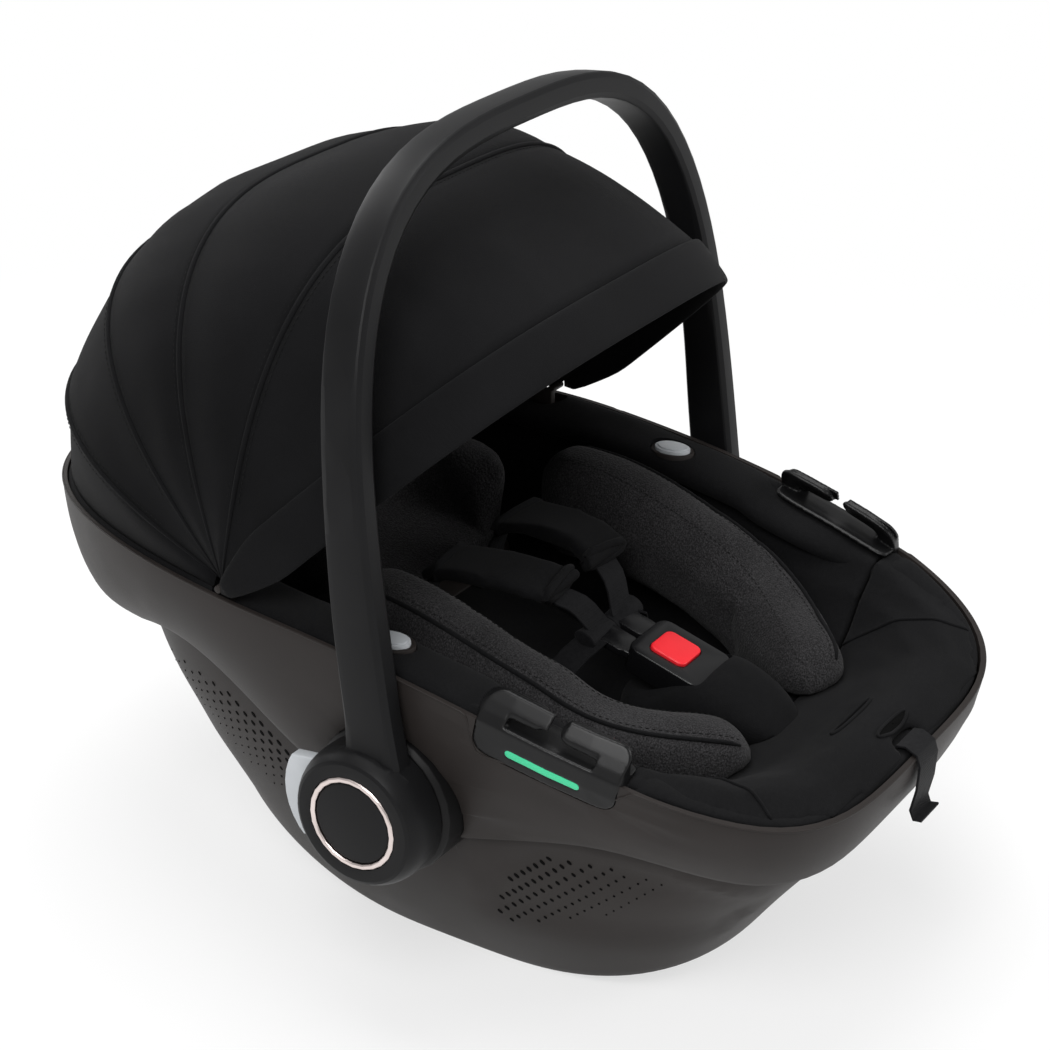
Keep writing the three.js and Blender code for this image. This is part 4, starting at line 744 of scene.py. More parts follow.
def set_stage():
    scene = bpy.context.scene
    scene.view_settings.view_transform = "Standard"
    eye = bpy.data.cameras.new("camera")
    eye.sensor_width = 36
    eye.lens = 85.7
    holder = bpy.data.objects.new("camera", eye)
    scene.collection.objects.link(holder)
    turn, drop = math.radians(-57.16), math.radians(25.57)
    ahead = Vector((
        -math.sin(turn) * math.cos(drop), math.cos(turn) * math.cos(drop), -math.sin(drop),
    ))
    holder.location = (-1.203, -0.753, 0.929)
    holder.rotation_euler = ahead.to_track_quat("-Z", "Y").to_euler()
    scene.camera = holder

    for name, place, size, energy in (
        ("key light", (-1.5, -0.5, 1.7), 1.1, 26),
        ("top light", (0.2, 0.3, 2.2), 1.6, 30),
        ("head light", (0.4, 1.7, 1.2), 1.0, 12),
        ("foot light", (0.9, -1.6, 1.1), 0.9, 12),
    ):
        lamp = bpy.data.lights.new(name, "AREA")
        lamp.shape = "DISK"
        lamp.size = size
        lamp.energy = energy
        stand = bpy.data.objects.new(name, lamp)
        stand.location = place
        aim = Vector((0, 0.05, 0.2)) - Vector(place)
        stand.rotation_euler = aim.to_track_quat("-Z", "Y").to_euler()
        scene.collection.objects.link(stand)

    world = bpy.data.worlds.new("room")
    scene.world = world
    world.use_nodes = True
    world.node_tree.nodes["Background"].inputs["Color"].default_value = (1, 1, 1, 1)
    world.node_tree.nodes["Background"].inputs["Strength"].default_value = 0.45

    paint = Paint("pale ground")
    seen = paint.node("ShaderNodeLightPath", out="Is Camera Ray")
    glossy = paint.node("ShaderNodeLightPath", out="Is Glossy Ray")
    through = paint.node("ShaderNodeLightPath", out="Is Transmission Ray")
    away = paint.node("ShaderNodeVectorMath", {"operation": "LENGTH"}, {0: paint.place}, "Value")
    fade = paint.node("ShaderNodeMapRange", {"clamp": True}, {
        "Value": away, "From Min": 0.55, "From Max": 1.3, "To Min": 0.66, "To Max": 1.0,
    })
    share = paint.node("ShaderNodeMath", {"operation": "MULTIPLY", "use_clamp": True}, {
        0: seen + glossy + through, 1: fade,
    })
    matte = paint.node("ShaderNodeBsdfDiffuse", {}, {"Color": (0.82, 0.82, 0.82, 1)})
    white = paint.node("ShaderNodeEmission", {}, {"Color": (1, 1, 1, 1), "Strength": 1.0})
    mixed = paint.node("ShaderNodeMixShader", {}, {0: share, 1: matte, 2: white})
    paint.node("ShaderNodeOutputMaterial", {}, {"Surface": mixed}, out=None)
    ground = grid("ground", [[(-9, -9, 0), (9, -9, 0)], [(-9, 9, 0), (9, 9, 0)]])
    ground.data.materials.append(paint.material)


# ---------------------------------------------------------------- canopy

def arch(half, reach, steps):
    """A bow's arch as pairs of width and reach, from the right eye to the left one."""
    power = 2 / CANOPY_POWER
    turned = (math.pi * k / steps for k in range(steps + 1))
    return [
        (bent(math.cos(turn), power) * half, abs(math.sin(turn)) ** power * reach)
        for turn in turned
    ]


def arch_way(x, rise, half, reach):
    """The way out from an arch at one of its points, as shares along its width and reach."""
    side = bent(x / half, CANOPY_POWER - 1)
    top = (rise / reach) ** (CANOPY_POWER - 1)
    size = math.hypot(side, top) or 1
    return side / size, top / size


def canopy_place(x, reach, angle, ahead=0.0):
    turn = math.radians(angle)
    return Vector((
        x,
        PIVOT_Y + reach * math.cos(turn) - ahead * math.sin(turn),
        PIVOT_HEIGHT + reach * math.sin(turn) + ahead * math.cos(turn),
    ))


def bow_layer(index):
    """Half width and reach of the cloth at a bow. Each lies inside the one ahead of it."""
    half = BAND_HALF_WIDTH - (4 - index) * LAYER_PITCH
    return half, CANOPY_REACH - (3 - index) * LAYER_PITCH - BOW_SINKS[index]


def panel_place(low, high, share, k, bulge):
    """A point of a canopy panel between two bows."""
    (half_a, reach_a, angle_a), (half_b, reach_b, angle_b) = low, high
    half = half_a + (half_b - half_a) * share
    reach = reach_a + (reach_b - reach_a) * share
    x, rise = arch(half, reach, PANEL_STEPS)[k]
    out, up = arch_way(x, rise, half, reach)
    swell = bulge * math.sin(math.pi * share ** 1.25) * min(1.0, rise / 0.09)
    pull = noise.noise(Vector((k * 0.42, angle_a, share * 1.6))) * 0.0012
    pull *= math.sin(math.pi * share)
    return canopy_place(
        x + out * (swell * 0.5 + pull), rise + up * (swell + pull),
        angle_a + (angle_b - angle_a) * share,
    )


def hang_panel(name, low, high, bulge, nodes, rows=12):
    """One sewn panel of canopy cloth, between two bows."""
    skin = sheet_from(name, [
        [panel_place(low, high, share / rows, k, bulge) for k in range(PANEL_STEPS + 1)]
        for share in range(rows + 1)
    ], nodes)
    start, end = (canopy_place(0, CANOPY_REACH, angle) for angle in (low[2], high[2]))
    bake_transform(skin)


def sheet_from(name, rows, nodes):
    """A thin sheet of canopy cloth through rows of points."""
    skin = grid(name, rows)
    face_out(skin)
    modify(skin, "SOLIDIFY", thickness=PANEL_THICKNESS, offset=-1.0)
    smooth(settle(skin))
    dress(skin, "black_fabric", None, nodes, "canopy_fabric")
    return skin


def rear_panel(rows=14):
    """The rear panel rises from inside the shell's rim round the head end to the first bow."""
    half, reach = bow_layer(0)
    upper = [
        canopy_place(x, max(r, EYE_RADIUS), BOW_ANGLES[0] - 0.1)
        for x, r in arch(half, reach, PANEL_STEPS)
    ]
    lower = []
    for place in upper:
        x = place.x / half * 0.1835
        bow = math.sqrt(max(0.0, 1 - (x / 0.187) ** 2))
        y = max(PIVOT_Y + EYE_RADIUS, RIM_MIDDLE + 0.290 * bow)
        lower.append(Vector((x, y, rim_height(y) + 0.0015)))
    skin = []
    for j in range(rows + 1):
        share = j / rows
        row = []
        for k, (low, high) in enumerate(zip(lower, upper)):
            place = low.lerp(high, share)
            swell = math.sin(math.pi * share) * (low - high).length / CANOPY_REACH
            crease = noise.noise(Vector((k * 0.33, share * 2.2, 4.7))) * 0.0016 * swell
            out = abs(place.x) / half
            place.y += (0.013 * swell + crease) * (1 - out)
            place.x += math.copysign((0.008 * swell + crease) * out, place.x)
            row.append(place)
        skin.append(row)
    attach(sheet_from("canopy_panel_1", skin, ["canopy_gore_1"]), "seat")


def face_out(skin, middle=(0, 0.06, 0.2)):
    """Turns an open skin so that it faces away from a point inside."""
    builder = opened(skin)
    bmesh.ops.recalc_face_normals(builder, faces=builder.faces)
    votes = sum(
        face.calc_area() * face.normal.dot(face.calc_center_median() - Vector(middle))
        for face in builder.faces
    )
    if votes < 0:
        bmesh.ops.reverse_faces(builder, faces=builder.faces)
    put_back(builder, skin)


def bow_sleeve(index, body):
    """The cloth tunnel over a bow: a rounded ridge with a row of stitches on each side."""
    angle = BOW_ANGLES[index]
    line = arch(*bow_layer(index), BOW_STEPS)
    ridge = tube(
        f"canopy_sleeve_{index + 1}", [canopy_place(x, r, angle) for x, r in line],
        [SLEEVE_RADIUS * (0.5 + 0.5 * blend_step(r, 0.01, 0.09)) for _, r in line], 10,
    )
    rows = [
        evened([canopy_place(x * 1.002, r + 0.0002, angle, ahead) for x, r in line[3:-3]],
               SEAM_PITCH)
        for ahead in (-0.0042, 0.0042)
    ]
    dress(ridge, "bow_plastic", body, [f"canopy_bow_{index + 1}"], "canopy_fabric")
    seam = stitched(f"canopy_seam_{index + 1}", rows)
    return dress(seam, "bow_plastic", body, (), "thread")


def front_band():
    """The padded band along the canopy's front edge, wide over the crown, narrow at its eyes."""
    rows = []
    for x, r in arch(BAND_HALF_WIDTH, BAND_REACH, BOW_STEPS):
        taper = 0.35 + 0.65 * blend_step(r, 0.0, 0.05)
        side, top = arch_way(x, r, BAND_HALF_WIDTH, BAND_REACH)
        row = []
        for across, out in turns(20):
            ahead = 0.0032 + bent(across, 0.45) * 0.0165 * taper
            lift = bent(out, 0.8) * 0.0022 + 0.0010
            row.append(canopy_place(x + side * lift, r + top * lift, BAND_ANGLE, ahead))
        rows.append(row)
    band = smooth(closed_loft("canopy_front_edge", rows))
    padding(band, body="canopy_front", nodes=["canopy_front_band"], finish="canopy_fabric")


def make_canopy():
    bodies = ["seat", "canopy_2", "canopy_3", "canopy_4", "canopy_front"]
    bows = [(*bow_layer(k), angle) for k, angle in enumerate(BOW_ANGLES)]
    front = (BAND_HALF_WIDTH - 0.0002, BAND_REACH + 0.0004, BAND_ANGLE - 2.6)
    rear_panel()
    for k in range(3):
        hang_panel(
            f"canopy_panel_{k + 2}", bows[k], bows[k + 1], PANEL_BULGES[k],
            [f"canopy_gore_{k + 2}"],
        )
    hang_panel(
        "canopy_panel_5", bows[3], front, -FRONT_PANEL_SAG, ["canopy_gore_5"],
    )
    for k in range(4):
        bow_sleeve(k, bodies[k])
    front_band()


# ---------------------------------------------------------------- cover, insert and harness

def closed_loft(name, rows, levels=1):
    """A closed form through rings of points, with rounded-over ends."""
    shape = capped(grid(name, rows, close_columns=True))
    return finer(shape, levels) if levels else shape


def rounded_form(name, rows, voxel, relax):
    """A closed form whose rings are melted into one even skin."""
    shape = closed_loft(name, rows, 0)
    modify(shape, "REMESH", mode="VOXEL", voxel_size=voxel)
    modify(shape, "SMOOTH", factor=0.5, iterations=relax)
    return settle(shape)


def cut_away(shape, *cutters):
    """Takes cutters out of a form and removes them."""
    for cutter in cutters:
        modify(shape, "BOOLEAN", operation="DIFFERENCE", object=cutter, solver="EXACT")
        settle(shape)
        bpy.data.objects.remove(cutter)
    return shape


def oval_post(place, half_x, half_y, low, high, sides=32):
    return closed_loft("oval_post", [
        [(place[0] + half_x * c, place[1] + half_y * d, z) for c, d in turns(sides)]
        for z in (low, high)
    ], 0)


def button_post(side):
    """The space a frame button takes in the cover."""
    top = rim_height(BUTTON_PLACE[1])
    return oval_post(
        (side * BUTTON_PLACE[0], BUTTON_PLACE[1]), 0.0126, 0.0166, top - 0.05, top + 0.02,
    )


BUTTON_PLACE = (0.165, 0.010)
RIM_SECTION = [
    # inset as a share of the width, and height above the rim line
    (0.0, -0.010), (0.0, -0.002), (0.04, 0.0012), (0.16, 0.0022), (0.36, 0.0026),
    (0.60, 0.0020), (0.82, 0.0004), (0.95, -0.0030), (1.0, -0.0085), (0.92, -0.0140),
    (0.55, -0.0160), (0.18, -0.0150),
]


def rim_band(name, keep):
    """The cover's padded band inside the shell's rim, which the oval buttons come through."""
    places = [item for item in rim_outline() if keep(item[0].y)]
    gap = next(
        (k for k in range(1, len(places)) if (places[k][0] - places[k - 1][0]).length > 0.02), 0,
    )
    places = places[gap:] + places[:gap]
    rows = []
    for k, (place, inward) in enumerate(places):
        width = 0.024 + 0.019 * blend_step(place.y, -0.20, -0.08)
        dip = 0.0042 * (1 - blend_step(abs(place.y - GUIDE_Y), 0.046, 0.058))
        foot = 1 - blend_step(place.y, -0.21, -0.13)
        end = min(k, len(places) - 1 - k)
        pinch = 1.0 if end > 1 else 0.86 if end == 1 else 0.45
        row = []
        for share, height in RIM_SECTION:
            edge = 0.0036 + foot * (0.0046 if share < 0.5 and height < -0.004 else 0.0006)
            height = (height - dip + 0.006) * pinch - 0.006
            spot = place + inward * (edge + width * share)
            row.append((spot.x, spot.y, rim_height(place.y) + height))
        rows.append(row)
    shape = closed_loft(name, rows)
    ripple(shape, 0.0007, 24, 8)
    cutters = []
    if keep(BUTTON_PLACE[1]):
        top = rim_height(BUTTON_PLACE[1])
        for side in SIDES.values():
            cutters.append(button_post(side))
            cutters.append(oval_post(
                (side * 0.176, PIVOT_Y), 0.0155, 0.0125, top - 0.05, top + 0.06, 24,
            ))
    cut_away(shape, *cutters)
    smooth(shape)
    shape.data.set_sharp_from_angle(angle=math.radians(50))
    padding(shape)


BOLSTER_ROUTE = [
    (0.107, 0.076, 0.251), (0.112, 0.0152, 0.2447), (0.110, -0.0574, 0.2216),
    (0.098, -0.1066, 0.1992), (0.045, -0.168, 0.180),
]
BOLSTER_WIDE = 0.049
BOLSTER_TALL = 0.078
BOLSTER_STEPS = 44
BOLSTER_END = 0.026             # length of its rounded ends


def bolster_stations(side):
    """Places along a bolster's upper line, each with its way outwards and its fullness."""
    line = curved([(side * x, y, z) for x, y, z in BOLSTER_ROUTE], 12)
    total = sum((b - a).length for a, b in zip(line, line[1:]))
    line = evened(line, total / BOLSTER_STEPS)
    stations = []
    for k, place in enumerate(line):
        run = line[min(k + 1, len(line) - 1)] - line[max(k - 1, 0)]
        out = Vector((run.y, -run.x, 0)).normalized() * -side
        near = min(k, len(line) - 1 - k) * total / BOLSTER_STEPS
        round_end = 1 - (1 - min(1.0, (near + 0.0015) / BOLSTER_END)) ** 2
        stations.append((place, out, math.sqrt(round_end)))
    return stations


def bolster(side_name, walls):
    """A boxed side cushion: broad crowned top, upright outer wall, tip curled inwards."""
    side = SIDES[side_name]
    rows = []
    for place, out, full in bolster_stations(side):
        heart = place - Vector((0, 0, 0.018))
        middle = place - Vector((0, 0, BOLSTER_TALL / 2))
        row = []
        for c, d in turns(20, 0.5):
            wide = bent(c, 0.62) * BOLSTER_WIDE / 2 * full
            tall = bent(d, 0.72) * BOLSTER_TALL / 2 * (0.25 + 0.75 * full)
            spot = middle + out * wide + Vector((0, 0, tall))
            way = spot - heart
            hit = walls.ray_cast(heart, way.normalized(), way.length)[0]
            row.append(hit - way.normalized() * 0.0012 if hit else spot)
        rows.append(row)
    return rounded_form(f"bolster_{side_name}", rows, 0.0045, 3)


def bolster_trim(side_name, shape):
    """Piping on a bolster's outer edge, and rows of stitches beside its outer and inner edge."""
    side = SIDES[side_name]
    skin = mesh_tree(shape)
    for label, across, up in (("outer", 1.0, 0.52), ("inner", -1.0, 0.40)):
        path, beside = [], []
        for place, out, _ in bolster_stations(side)[3:-2]:
            heart = place - Vector((0, 0, 0.022))
            way = (out * across * 0.0215 + Vector((0, 0, 0.0215 * up / 0.52))).normalized()
            hit, normal, _, _ = skin.ray_cast(heart, way, 0.08)
            inner = (out * across * 0.0155 + Vector((0, 0, 0.0230))).normalized()
            hem, hem_normal, _, _ = skin.ray_cast(heart, inner, 0.08)
            if hit and hem:
                path.append(hit + normal * 0.0004)
                beside.append(hem + hem_normal * 0.0003)
        if label == "outer":
            padding(tube(f"bolster_{side_name}_piping", path, 0.0015))
        row = stitched(f"bolster_{side_name}_{label}_stitches", [evened(beside, SEAM_PITCH)])
        dress(row, "black_fabric", "seat", (), "thread")


CROTCH_LINE = [
    # Y, half width, height of the top
    (-0.0600, 0.0150, 0.1600), (-0.0625, 0.0250, 0.1660), (-0.0700, 0.0315, 0.1700),
    (-0.0820, 0.0340, 0.1715), (-0.0930, 0.0350, 0.1760), (-0.1030, 0.0355, 0.1805),
    (-0.1120, 0.0355, 0.1830), (-0.1200, 0.0352, 0.1842), (-0.1290, 0.0342, 0.1830),
    (-0.1380, 0.0325, 0.1795), (-0.1470, 0.0302, 0.1745), (-0.1550, 0.0272, 0.1690),
    (-0.1620, 0.0235, 0.1635), (-0.1670, 0.0190, 0.1580), (-0.1700, 0.0115, 0.1530),
]


def crotch_pad():
    """The tongue-shaped pad under the buckle, which rises round the buckle's lower end."""
    rows = []
    for y, half, top in CROTCH_LINE:
        low = 0.118 if y > -0.13 else 0.118 + (-0.13 - y) * 0.9
        middle, tall = (top + low) / 2, (top - low) / 2
        rows.append([
            (bent(c, 0.7) * half, y, middle + bent(d, 0.5) * tall) for c, d in turns(20, 0.5)
        ])
    return rounded_form("crotch_cushion", rows, 0.0035, 4)


def buckle_pocket():
    """The space the buckle takes in the crotch pad, open upwards."""
    low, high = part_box("buckle_body")
    half, deep = high[0] + 0.0008, (high[1] - low[1]) / 2 + 0.0008
    middle = (low[1] + high[1]) / 2
    return closed_loft("buckle_pocket", [
        [(bent(c, 0.22) * half, middle + bent(d, 0.22) * deep, z) for c, d in turns(48, 0.5)]
        for z in (low[2] - 0.0006, high[2] + 0.03)
    ], 0)


def soft_goods():
    walls = tree_of("seat_cover", "foot_cover")
    cushions = {}
    bolsters = {}
    for side in SIDES:
        bolsters[side] = bolster(side, walls)
        pad = soft_form(f"shoulder_cushion_{side}", [f"shoulder_pad_{side}"], 0.003, 8, 0.001)
        cushions[bolsters[side]] = ("melange_fabric", "seat", [f"insert_bolster_{side}"], 0.7)
        cushions[pad] = ("black_fabric", "seat", [f"shoulder_pad_{side}"], 0.6)
    head = soft_form("headrest_cushion", ["headrest_pad"], 0.005, 22, 0.001)
    lap = soft_form("seat_cushion", ["insert_pad"], 0.005, 6, 0.002)
    crotch = crotch_pad()
    cushions[head] = ("melange_fabric", "headrest", ["headrest_pad"], 0.7)
    cushions[lap] = ("black_fabric", "seat", ["insert_pad"], 0.5)
    cushions[crotch] = ("black_fabric", "seat", ["crotch_pad"], 0.5)
    fill(list(cushions), 4.0, 0.005)
    for shape, (slot, body, nodes, fullness) in cushions.items():
        keep_clear(shape, [walls])
        ripple(shape, 0.0008, 28, 3)
        finer(shape)
        if shape is crotch:
            cut_away(shape, buckle_pocket())
        smooth(shape)
        if shape is crotch:
            shape.data.set_sharp_from_angle(angle=math.radians(55))
        padding(shape, slot, body, nodes)
    for side, shape in bolsters.items():
        bolster_trim(side, shape)


def piped_slit(name, skin, y, half_x, half_y):
    """A slit in the foot cover with a piped edge."""
    loop, inner = [], []
    for c, d in turns(32, closed=True):
        x = bent(c, 0.7) * half_x
        for path, grow in ((loop, 1.0), (inner, 0.9)):
            hit, normal, _, _ = cast_down(skin, x * grow, y + d * half_y * grow)
            path.append(hit + normal * 0.0006)
    padding(tube(name + "_piping", loop, 0.0011))
    inner.pop()
    middle = sum(inner, Vector()) / len(inner)
    shade = grid(
        name + "_shade", [inner, [middle.lerp(p, 0.1) for p in inner]], close_columns=True,
    )
    modify(shade, "SOLIDIFY", thickness=0.0005)
    dress(settle(shade), "black_fabric", "seat", (), "painted_shade")


FOOT_SEAM = [(0.107, -0.1525), (0.116, -0.180), (0.125, -0.209), (0.134, -0.226)]


def cover_seams():
    """The piped seams at both sides of the foot cover."""
    skin = mesh_tree(bpy.data.objects["foot_pad"])
    for label, side in SIDES.items():
        path = []
        for place in curved([(side * x, y, 0) for x, y in FOOT_SEAM], 10):
            hit, normal, _, _ = cast_down(skin, place.x, place.y)
            if hit:
                path.append(hit + normal * 0.0003)
        padding(tube(f"foot_seam_{label}", path, 0.0012))


def covers():
    for name, node in (("cover", "seat_cover"), ("foot_pad", "foot_cover")):
        skin = soft_form(name, [node], 0.004, 3)
        if node == "seat_cover":
            cut_away(skin, *(button_post(side) for side in SIDES.values()))
        ripple(skin, COVER_RIPPLE, 16, 5)
        ripple(skin, COVER_RIPPLE * 0.4, 45, 6)
        padding(smooth(skin), nodes=[node])
    rim_band("cover_rim", lambda y: y > -0.149)
    rim_band("foot_rim", lambda y: y < -0.151)
    foot = mesh_tree(bpy.data.objects["foot_pad"])
    piped_slit("adjuster_slit", foot, -0.210, 0.0260, 0.0024)
    piped_slit("strap_slot", foot, -0.2365, 0.0185, 0.0030)
    cover_seams()


def strap_loop(side_name):
    """The webbing's fold round the end of a buckle tongue."""
    low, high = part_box(f"buckle_tongue_{side_name}")
    middle = (low[0] + high[0]) / 2
    heart = Vector((middle + SIDES[side_name] * 0.003, high[1] - 0.001, high[2] - 0.0030))
    rows = []
    for along in (-0.0150, -0.0146, 0.0146, 0.0150):
        inset = 0.86 if abs(along) > 0.0148 else 1.0
        rows.append([
            heart + Vector((
                along, 0.0075 * inset * c,
                0.0052 * inset * d + 0.0016 * c + SIDES[side_name] * along * 0.10,
            ))
            for c, d in turns(24)
        ])
    shape = closed_loft(f"webbing_fold_{side_name}", rows, 0)
    modify(shape, "BEVEL", width=0.0003, segments=2, limit_method="ANGLE")
    smooth(settle(shape))
    dress(shape, "webbing", "seat")


def collar(side_name):
    """The rolled collars at both ends of a shoulder pad."""
    pad = bpy.data.objects[f"shoulder_cushion_{side_name}"]
    skin = mesh_tree(pad)
    points = sorted((vertex.co.copy() for vertex in pad.data.vertices), key=lambda p: p.y)
    few = max(1, len(points) // 14)
    foot, head = (sum(part, Vector()) / few for part in (points[:few], points[-few:]))
    ahead = (head - foot).normalized()
    across = ahead.cross(Vector((0, 0, 1))).normalized()
    lift = across.cross(ahead)
    for label, share in (("foot", 0.03), ("head", 0.93)):
        heart = foot.lerp(head, share)
        loop = []
        for c, d in turns(32, closed=True):
            way = across * c + lift * d
            hit = skin.ray_cast(heart + way * 0.06, -way, 0.06)[0]
            if hit:
                loop.append(hit + way * 0.0006)
        padding(tube(f"shoulder_collar_{side_name}_{label}", loop, 0.0027, 10))


def straps():
    for side in SIDES:
        strap_loop(side)
        collar(side)
    runs = [f"{part}_{side}" for side in SIDES for part in ("shoulder_strap", "lap_strap")]
    for node in (*runs, "crotch_strap", "pull_strap"):
        refined(node, "webbing", "seat", 0.0003, 1)


# ---------------------------------------------------------------- hard parts

GUIDE_HALF = 0.0445             # half a guide's length along the rim
HOOK_FORM = [
    # along the rim from the guide's middle, bottom and top above the rim
    (0.0452, -0.0050, 0.0060), (0.0445, -0.0070, 0.0110), (0.0425, -0.0070, 0.0143),
    (0.0390, -0.0070, 0.0164), (0.0350, -0.0060, 0.0172), (0.0328, -0.0010, 0.0174),
    (0.0305, 0.0052, 0.0175), (0.0270, 0.0064, 0.0175), (0.0180, 0.0066, 0.0175),
    (0.0110, 0.0066, 0.0174), (0.0075, 0.0070, 0.0169), (0.0052, 0.0084, 0.0154),
    (0.0043, 0.0106, 0.0134),
]


def guide_saddle(side):
    """The guide's inner plate, which lies on the cover and ends in a raised lip."""
    across = [0.0022, 0.006, 0.012, 0.018, 0.0215, 0.0240, 0.0262]
    lift = [0.0016, 0.0020, 0.0020, 0.0020, 0.0022, 0.0022, 0.0012]
    rows = []
    for k in range(15):
        turn = math.pi * k / 14
        y = GUIDE_Y - GUIDE_HALF * bent(math.cos(turn), 0.55)
        reach = 0.35 + 0.65 * math.sin(turn) ** 0.35
        top, under = [], []
        for inset, height in zip(across, lift):
            x = side * (rim_half_width(y) - 0.0022 - (inset - 0.0022) * reach)
            top.append((x, y, rim_height(y) + height))
            under.append((x, y, rim_height(y) - 0.0004))
        rows.append(top + under[::-1])
    return closed_loft("guide_saddle", rows, 0)


def belt_guide(side_name):
    """A belt guide: its plate with two thick rounded hooks that curl inwards over the rim."""
    side = SIDES[side_name]
    hooks = [from_bmesh("guide_plate", merged(f"belt_guide_{side_name}")), guide_saddle(side)]
    for end in (-1, 1):
        rows = []
        for along, low, high in HOOK_FORM:
            y = GUIDE_Y + end * along
            thick = 0.0042 if along > 0.006 else 0.0026
            row = []
            for c, d in turns(20, 0.5):
                z = (low + high) / 2 + bent(d, 0.6) * (high - low) / 2
                curl = 0.0058 + 0.0105 * (max(0.0, z + 0.002) / 0.0195) ** 1.7
                x = rim_half_width(y) - curl + bent(c, 0.6) * thick
                row.append((side * x, y, rim_height(y) + z))
            rows.append(row)
        hooks.append(closed_loft("guide_hook", rows))
    shape = joined(f"belt_guide_{side_name}_finish", hooks)
    modify(shape, "REMESH", mode="VOXEL", voxel_size=0.0008)
    modify(shape, "SMOOTH", factor=0.5, iterations=5)
    smooth(settle(shape))
    dress(shape, "guide_plastic", "seat", [f"belt_guide_{side_name}"])


def hard_parts():
    refined("outer_shell", "shell_plastic", "seat", 0.0008, 2, 2, held=True)
    refined("rocker_base", "shell_plastic", "seat", 0.0008, 2, 2)
    refined("foam_liner", "foam", "seat", 0, 1, 1)
    refined("handle", "handle_plastic", "handle", 0.0008, 3, 1, 17.0, held=True)
    for node, slot, body, edge, segments in (
        ("headrest_board", "shell_plastic", "headrest", 0.0005, 2),
        ("buckle_body", "buckle_plastic", "seat", 0.0012, 3),
        ("buckle_button", "red_plastic", "buckle_release", 0.0009, 3),
        ("harness_adjuster_button", "buckle_plastic", "harness_adjuster", 0.001, 3),
        ("locking_bar_foot", "steel", "seat", 0.0006, 2),
        ("locking_bar_head", "steel", "seat", 0.0006, 2),
    ):
        refined(node, slot, body, edge, segments)
    for side in SIDES:
        # the mount's darker finish is painted shade of the recess round the hub
        refined(f"handle_mount_{side}", "shell_plastic", "seat", 0.001, 3, finish="mount_plastic")
        for node, slot, body, edge, segments in (
            ("hub_ring", "ring_metal", "handle", 0.0006, 2),
            ("hub_cap", "handle_plastic", "handle", 0.0006, 2),
            ("handle_release_button", "light_plastic", f"handle_release_{side}", 0.0008, 3),
            ("frame_button_bezel", "shell_plastic", "seat", 0.0006, 2),
            ("frame_release_button", "light_plastic", f"frame_release_{side}", 0.0015, 3),
        ):
            refined(f"{node}_{side}", slot, body, edge, segments)
        belt_guide(side)
        for node, slot, edge in (
            ("belt_guide_strip", "green_plastic", 0.0003),
            ("canopy_mount", "shell_plastic", 0.0008), ("buckle_tongue", "buckle_plastic", 0.0006),
        ):
            refined(f"{node}_{side}", slot, "seat", edge)


VENT_RADIUS = 0.001
VENT_DEPTH = 0.0006
PANEL_DEPTH = 0.0028            # of the recessed panel that the front vents stand in
VENT_SLANT = (-0.68, -0.74)
VENT_ROWS = {
    # each row of holes: Y and Z of its first and last hole, count, first and last half width
    "front": [
        ((-64, 93), (-93, 119), 7, 1.15, 1.15), ((-54, 73), (-106, 120), 11, 1.1, 1.05),
        ((-50, 59), (-119, 121), 13, 1.1, 0.95), ((-57, 54), (-132, 122), 15, 0.95, 0.85),
        ((-76, 60), (-139, 118), 13, 0.85, 0.75), ((-98, 70), (-152, 119), 11, 0.7, 0.65),
        ((-122, 80), (-160, 116), 8, 0.6, 0.6),
    ],
    "rear": [
        ((213, 157), (213, 157), 1, 0.6, 0.6), ((214, 147), (193, 159), 3, 0.5, 0.8),
        ((207, 145), (175, 159), 4, 0.5, 0.9), ((198, 142), (160, 158), 5, 0.5, 1.0),
        ((188, 139), (145, 157), 6, 0.5, 1.1), ((194, 129), (138, 152.5), 7, 0.4, 1.2),
        ((184, 127), (123, 150.5), 8, 0.4, 1.2), ((175, 124), (117, 146), 8, 0.4, 1.25),
        ((168, 120), (110, 141), 8, 0.4, 1.3), ((162, 115), (103, 137), 8, 0.4, 1.3),
        ((155, 110), (97, 132), 8, 0.4, 1.3), ((148, 106), (90, 128), 8, 0.4, 1.3),
        ((142, 101), (98, 118), 6, 0.4, 1.0), ((127, 99), (100, 110.5), 4, 0.5, 0.8),
        ((121, 94), (103, 102), 3, 0.5, 0.6),
    ],
}


def vents():
    """Two groups of oval holes in each flank of the base, in rows that shrink to one end, drawn as
    near-black cups of painted shade on the surface.
    """
    walls = mesh_tree(bpy.data.objects["rocker_base_finish"])
    for group, rows in VENT_ROWS.items():
        places = []
        for side in SIDES.values():
            for first, last, count, big, small in rows:
                for k in range(count):
                    share = k / max(1, count - 1)
                    y, z = Vector(first).lerp(Vector(last), share) * 0.001
                    hit, normal, _, _ = cast_inwards(walls, side, y, z)
                    if hit is None or abs(hit.x) < 0.1:
                        continue
                    run = Vector((0, *VENT_SLANT))
                    along = (run - normal * run.dot(normal)).normalized()
                    half = big + (small - big) * share
                    stretch = 1.0 + 0.85 * blend_step(half, 0.5, 1.1)
                    places.append((hit, normal, along, half, stretch))
        shape = holes(f"{group}_vents", places, hole_radius=VENT_RADIUS, hole_depth=VENT_DEPTH)
        dress(shape, "shell_plastic", "seat", (), "painted_shade")


PANEL_CREASE = [
    # Y and Z along the crease that bounds the recessed panel of the flank
    (-0.030, 0.046), (-0.041, 0.078), (-0.050, 0.102), (-0.058, 0.116), (-0.077, 0.1285),
    (-0.105, 0.1345), (-0.135, 0.1345), (-0.1686, 0.1284), (-0.192, 0.1146), (-0.215, 0.094),
]


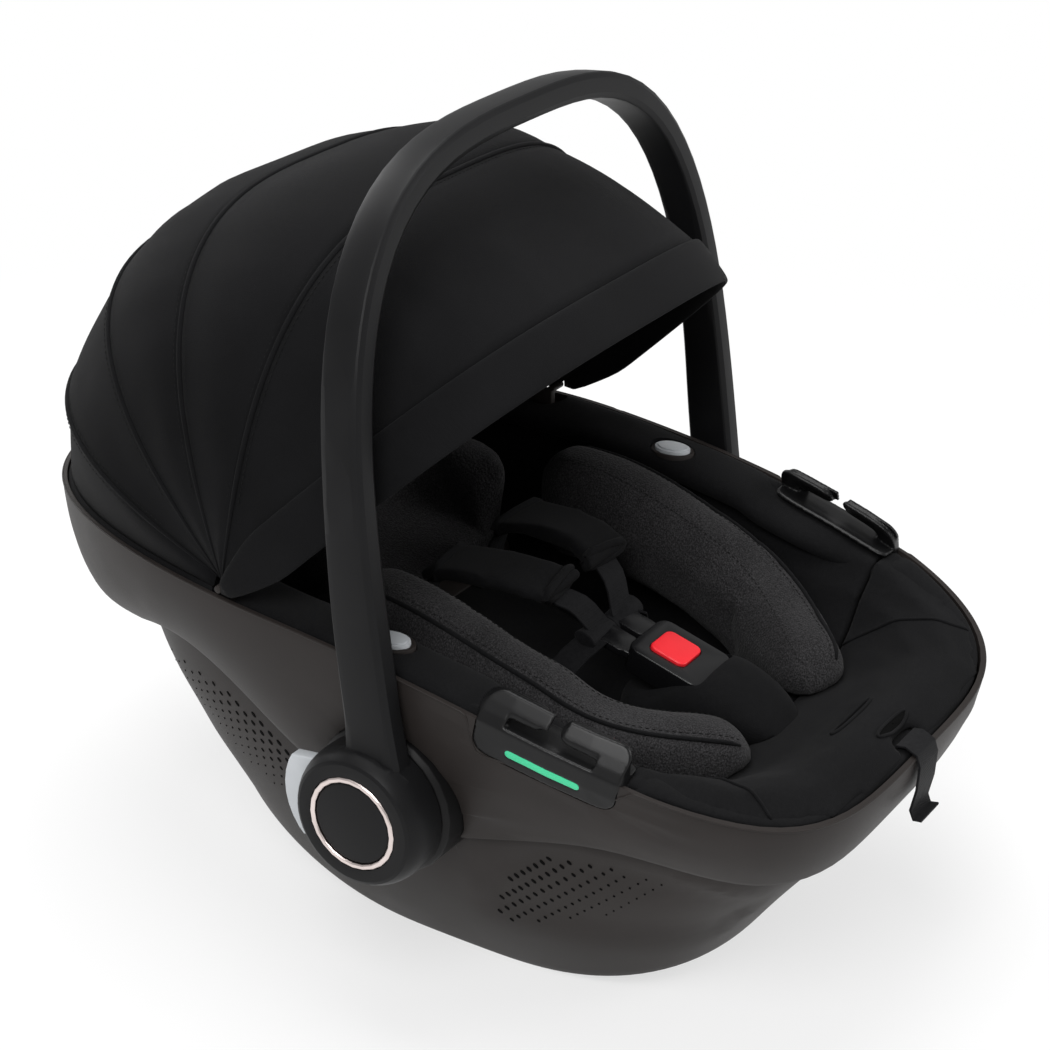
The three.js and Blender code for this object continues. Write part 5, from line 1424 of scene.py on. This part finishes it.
def recessed_panel():
    """Sinks the flanks of the base inside the crease, where the holes are."""
    shape = bpy.data.objects["rocker_base_finish"]
    line = [Vector((y, z)) for y, z in PANEL_CREASE]
    normals = [vertex.normal.copy() for vertex in shape.data.vertices]
    for vertex, normal in zip(shape.data.vertices, normals):
        place = vertex.co
        if abs(place.x) < 0.09 or normal.x * place.x < 0.02 or place.y > 0:
            continue
        spot = Vector((place.y, place.z))
        near, inside = 1.0, False
        for a, b in zip(line, line[1:]):
            run = b - a
            t = min(1.0, max(0.0, (spot - a).dot(run) / run.length_squared))
            gap = spot - (a + run * t)
            if gap.length < near:
                near = gap.length
                inside = run.x * gap.y - run.y * gap.x > 0
        depth = PANEL_DEPTH * blend_step(near, 0.0, 0.009) if inside else 0.0
        swell = 0.0010 * (1 - blend_step(near, 0.0, 0.004 if inside else 0.010))
        fade = blend_step(place.z, 0.045, 0.075) * blend_step(-place.y, 0.028, 0.042)
        fade *= blend_step(place.y, -0.215, -0.185)
        place += normal * (swell - depth) * fade


def guide_edge(plate, side, y):
    """Height of a belt guide's lower edge."""
    y = min(max(y, GUIDE_Y - 0.0425), GUIDE_Y + 0.0425)
    found = []
    for inset in (-0.0010, -0.0005, 0.0, 0.0005, 0.0010, 0.0015, 0.0020):
        hit = plate.ray_cast(
            Vector((side * (rim_half_width(y) - inset), y, 0.1)), Vector((0, 0, 1)), 0.2,
        )[0]
        if hit is not None:
            found.append(hit.z)
    return min(found) if found else rim_height(y) - 0.027


def rim_lip():
    """The thin lip along the shell's outer edge, which dips round the belt guides."""
    skin = tree_of("outer_shell")
    plates = {side: tree_of(f"belt_guide_{label}") for label, side in SIDES.items()}
    path = []
    for place, inward in rim_outline(640):
        y = place.y
        near = abs(y - GUIDE_Y)
        if near > 0.0515:
            path.append(Vector((place.x, y, rim_height(y) - 0.0004)) + inward * 0.0002)
            continue
        side = -1 if place.x < 0 else 1
        dip = 1 - blend_step(near, 0.0462, 0.0512)
        top = rim_height(y) - 0.0004
        low = guide_edge(plates[side], side, y) - 0.0022
        hit, normal, _, _ = cast_inwards(skin, side, y, top + (low - top) * dip)
        if hit is not None:
            path.append(hit + normal * 0.0001)
    path.append(path[0])
    dress(tube("rim_lip", evened(path, 0.003), 0.0007, 6), "shell_plastic", "seat")


set_stage()
make_canopy()
hard_parts()
recessed_panel()
vents()
rim_lip()
soft_goods()
covers()
straps()
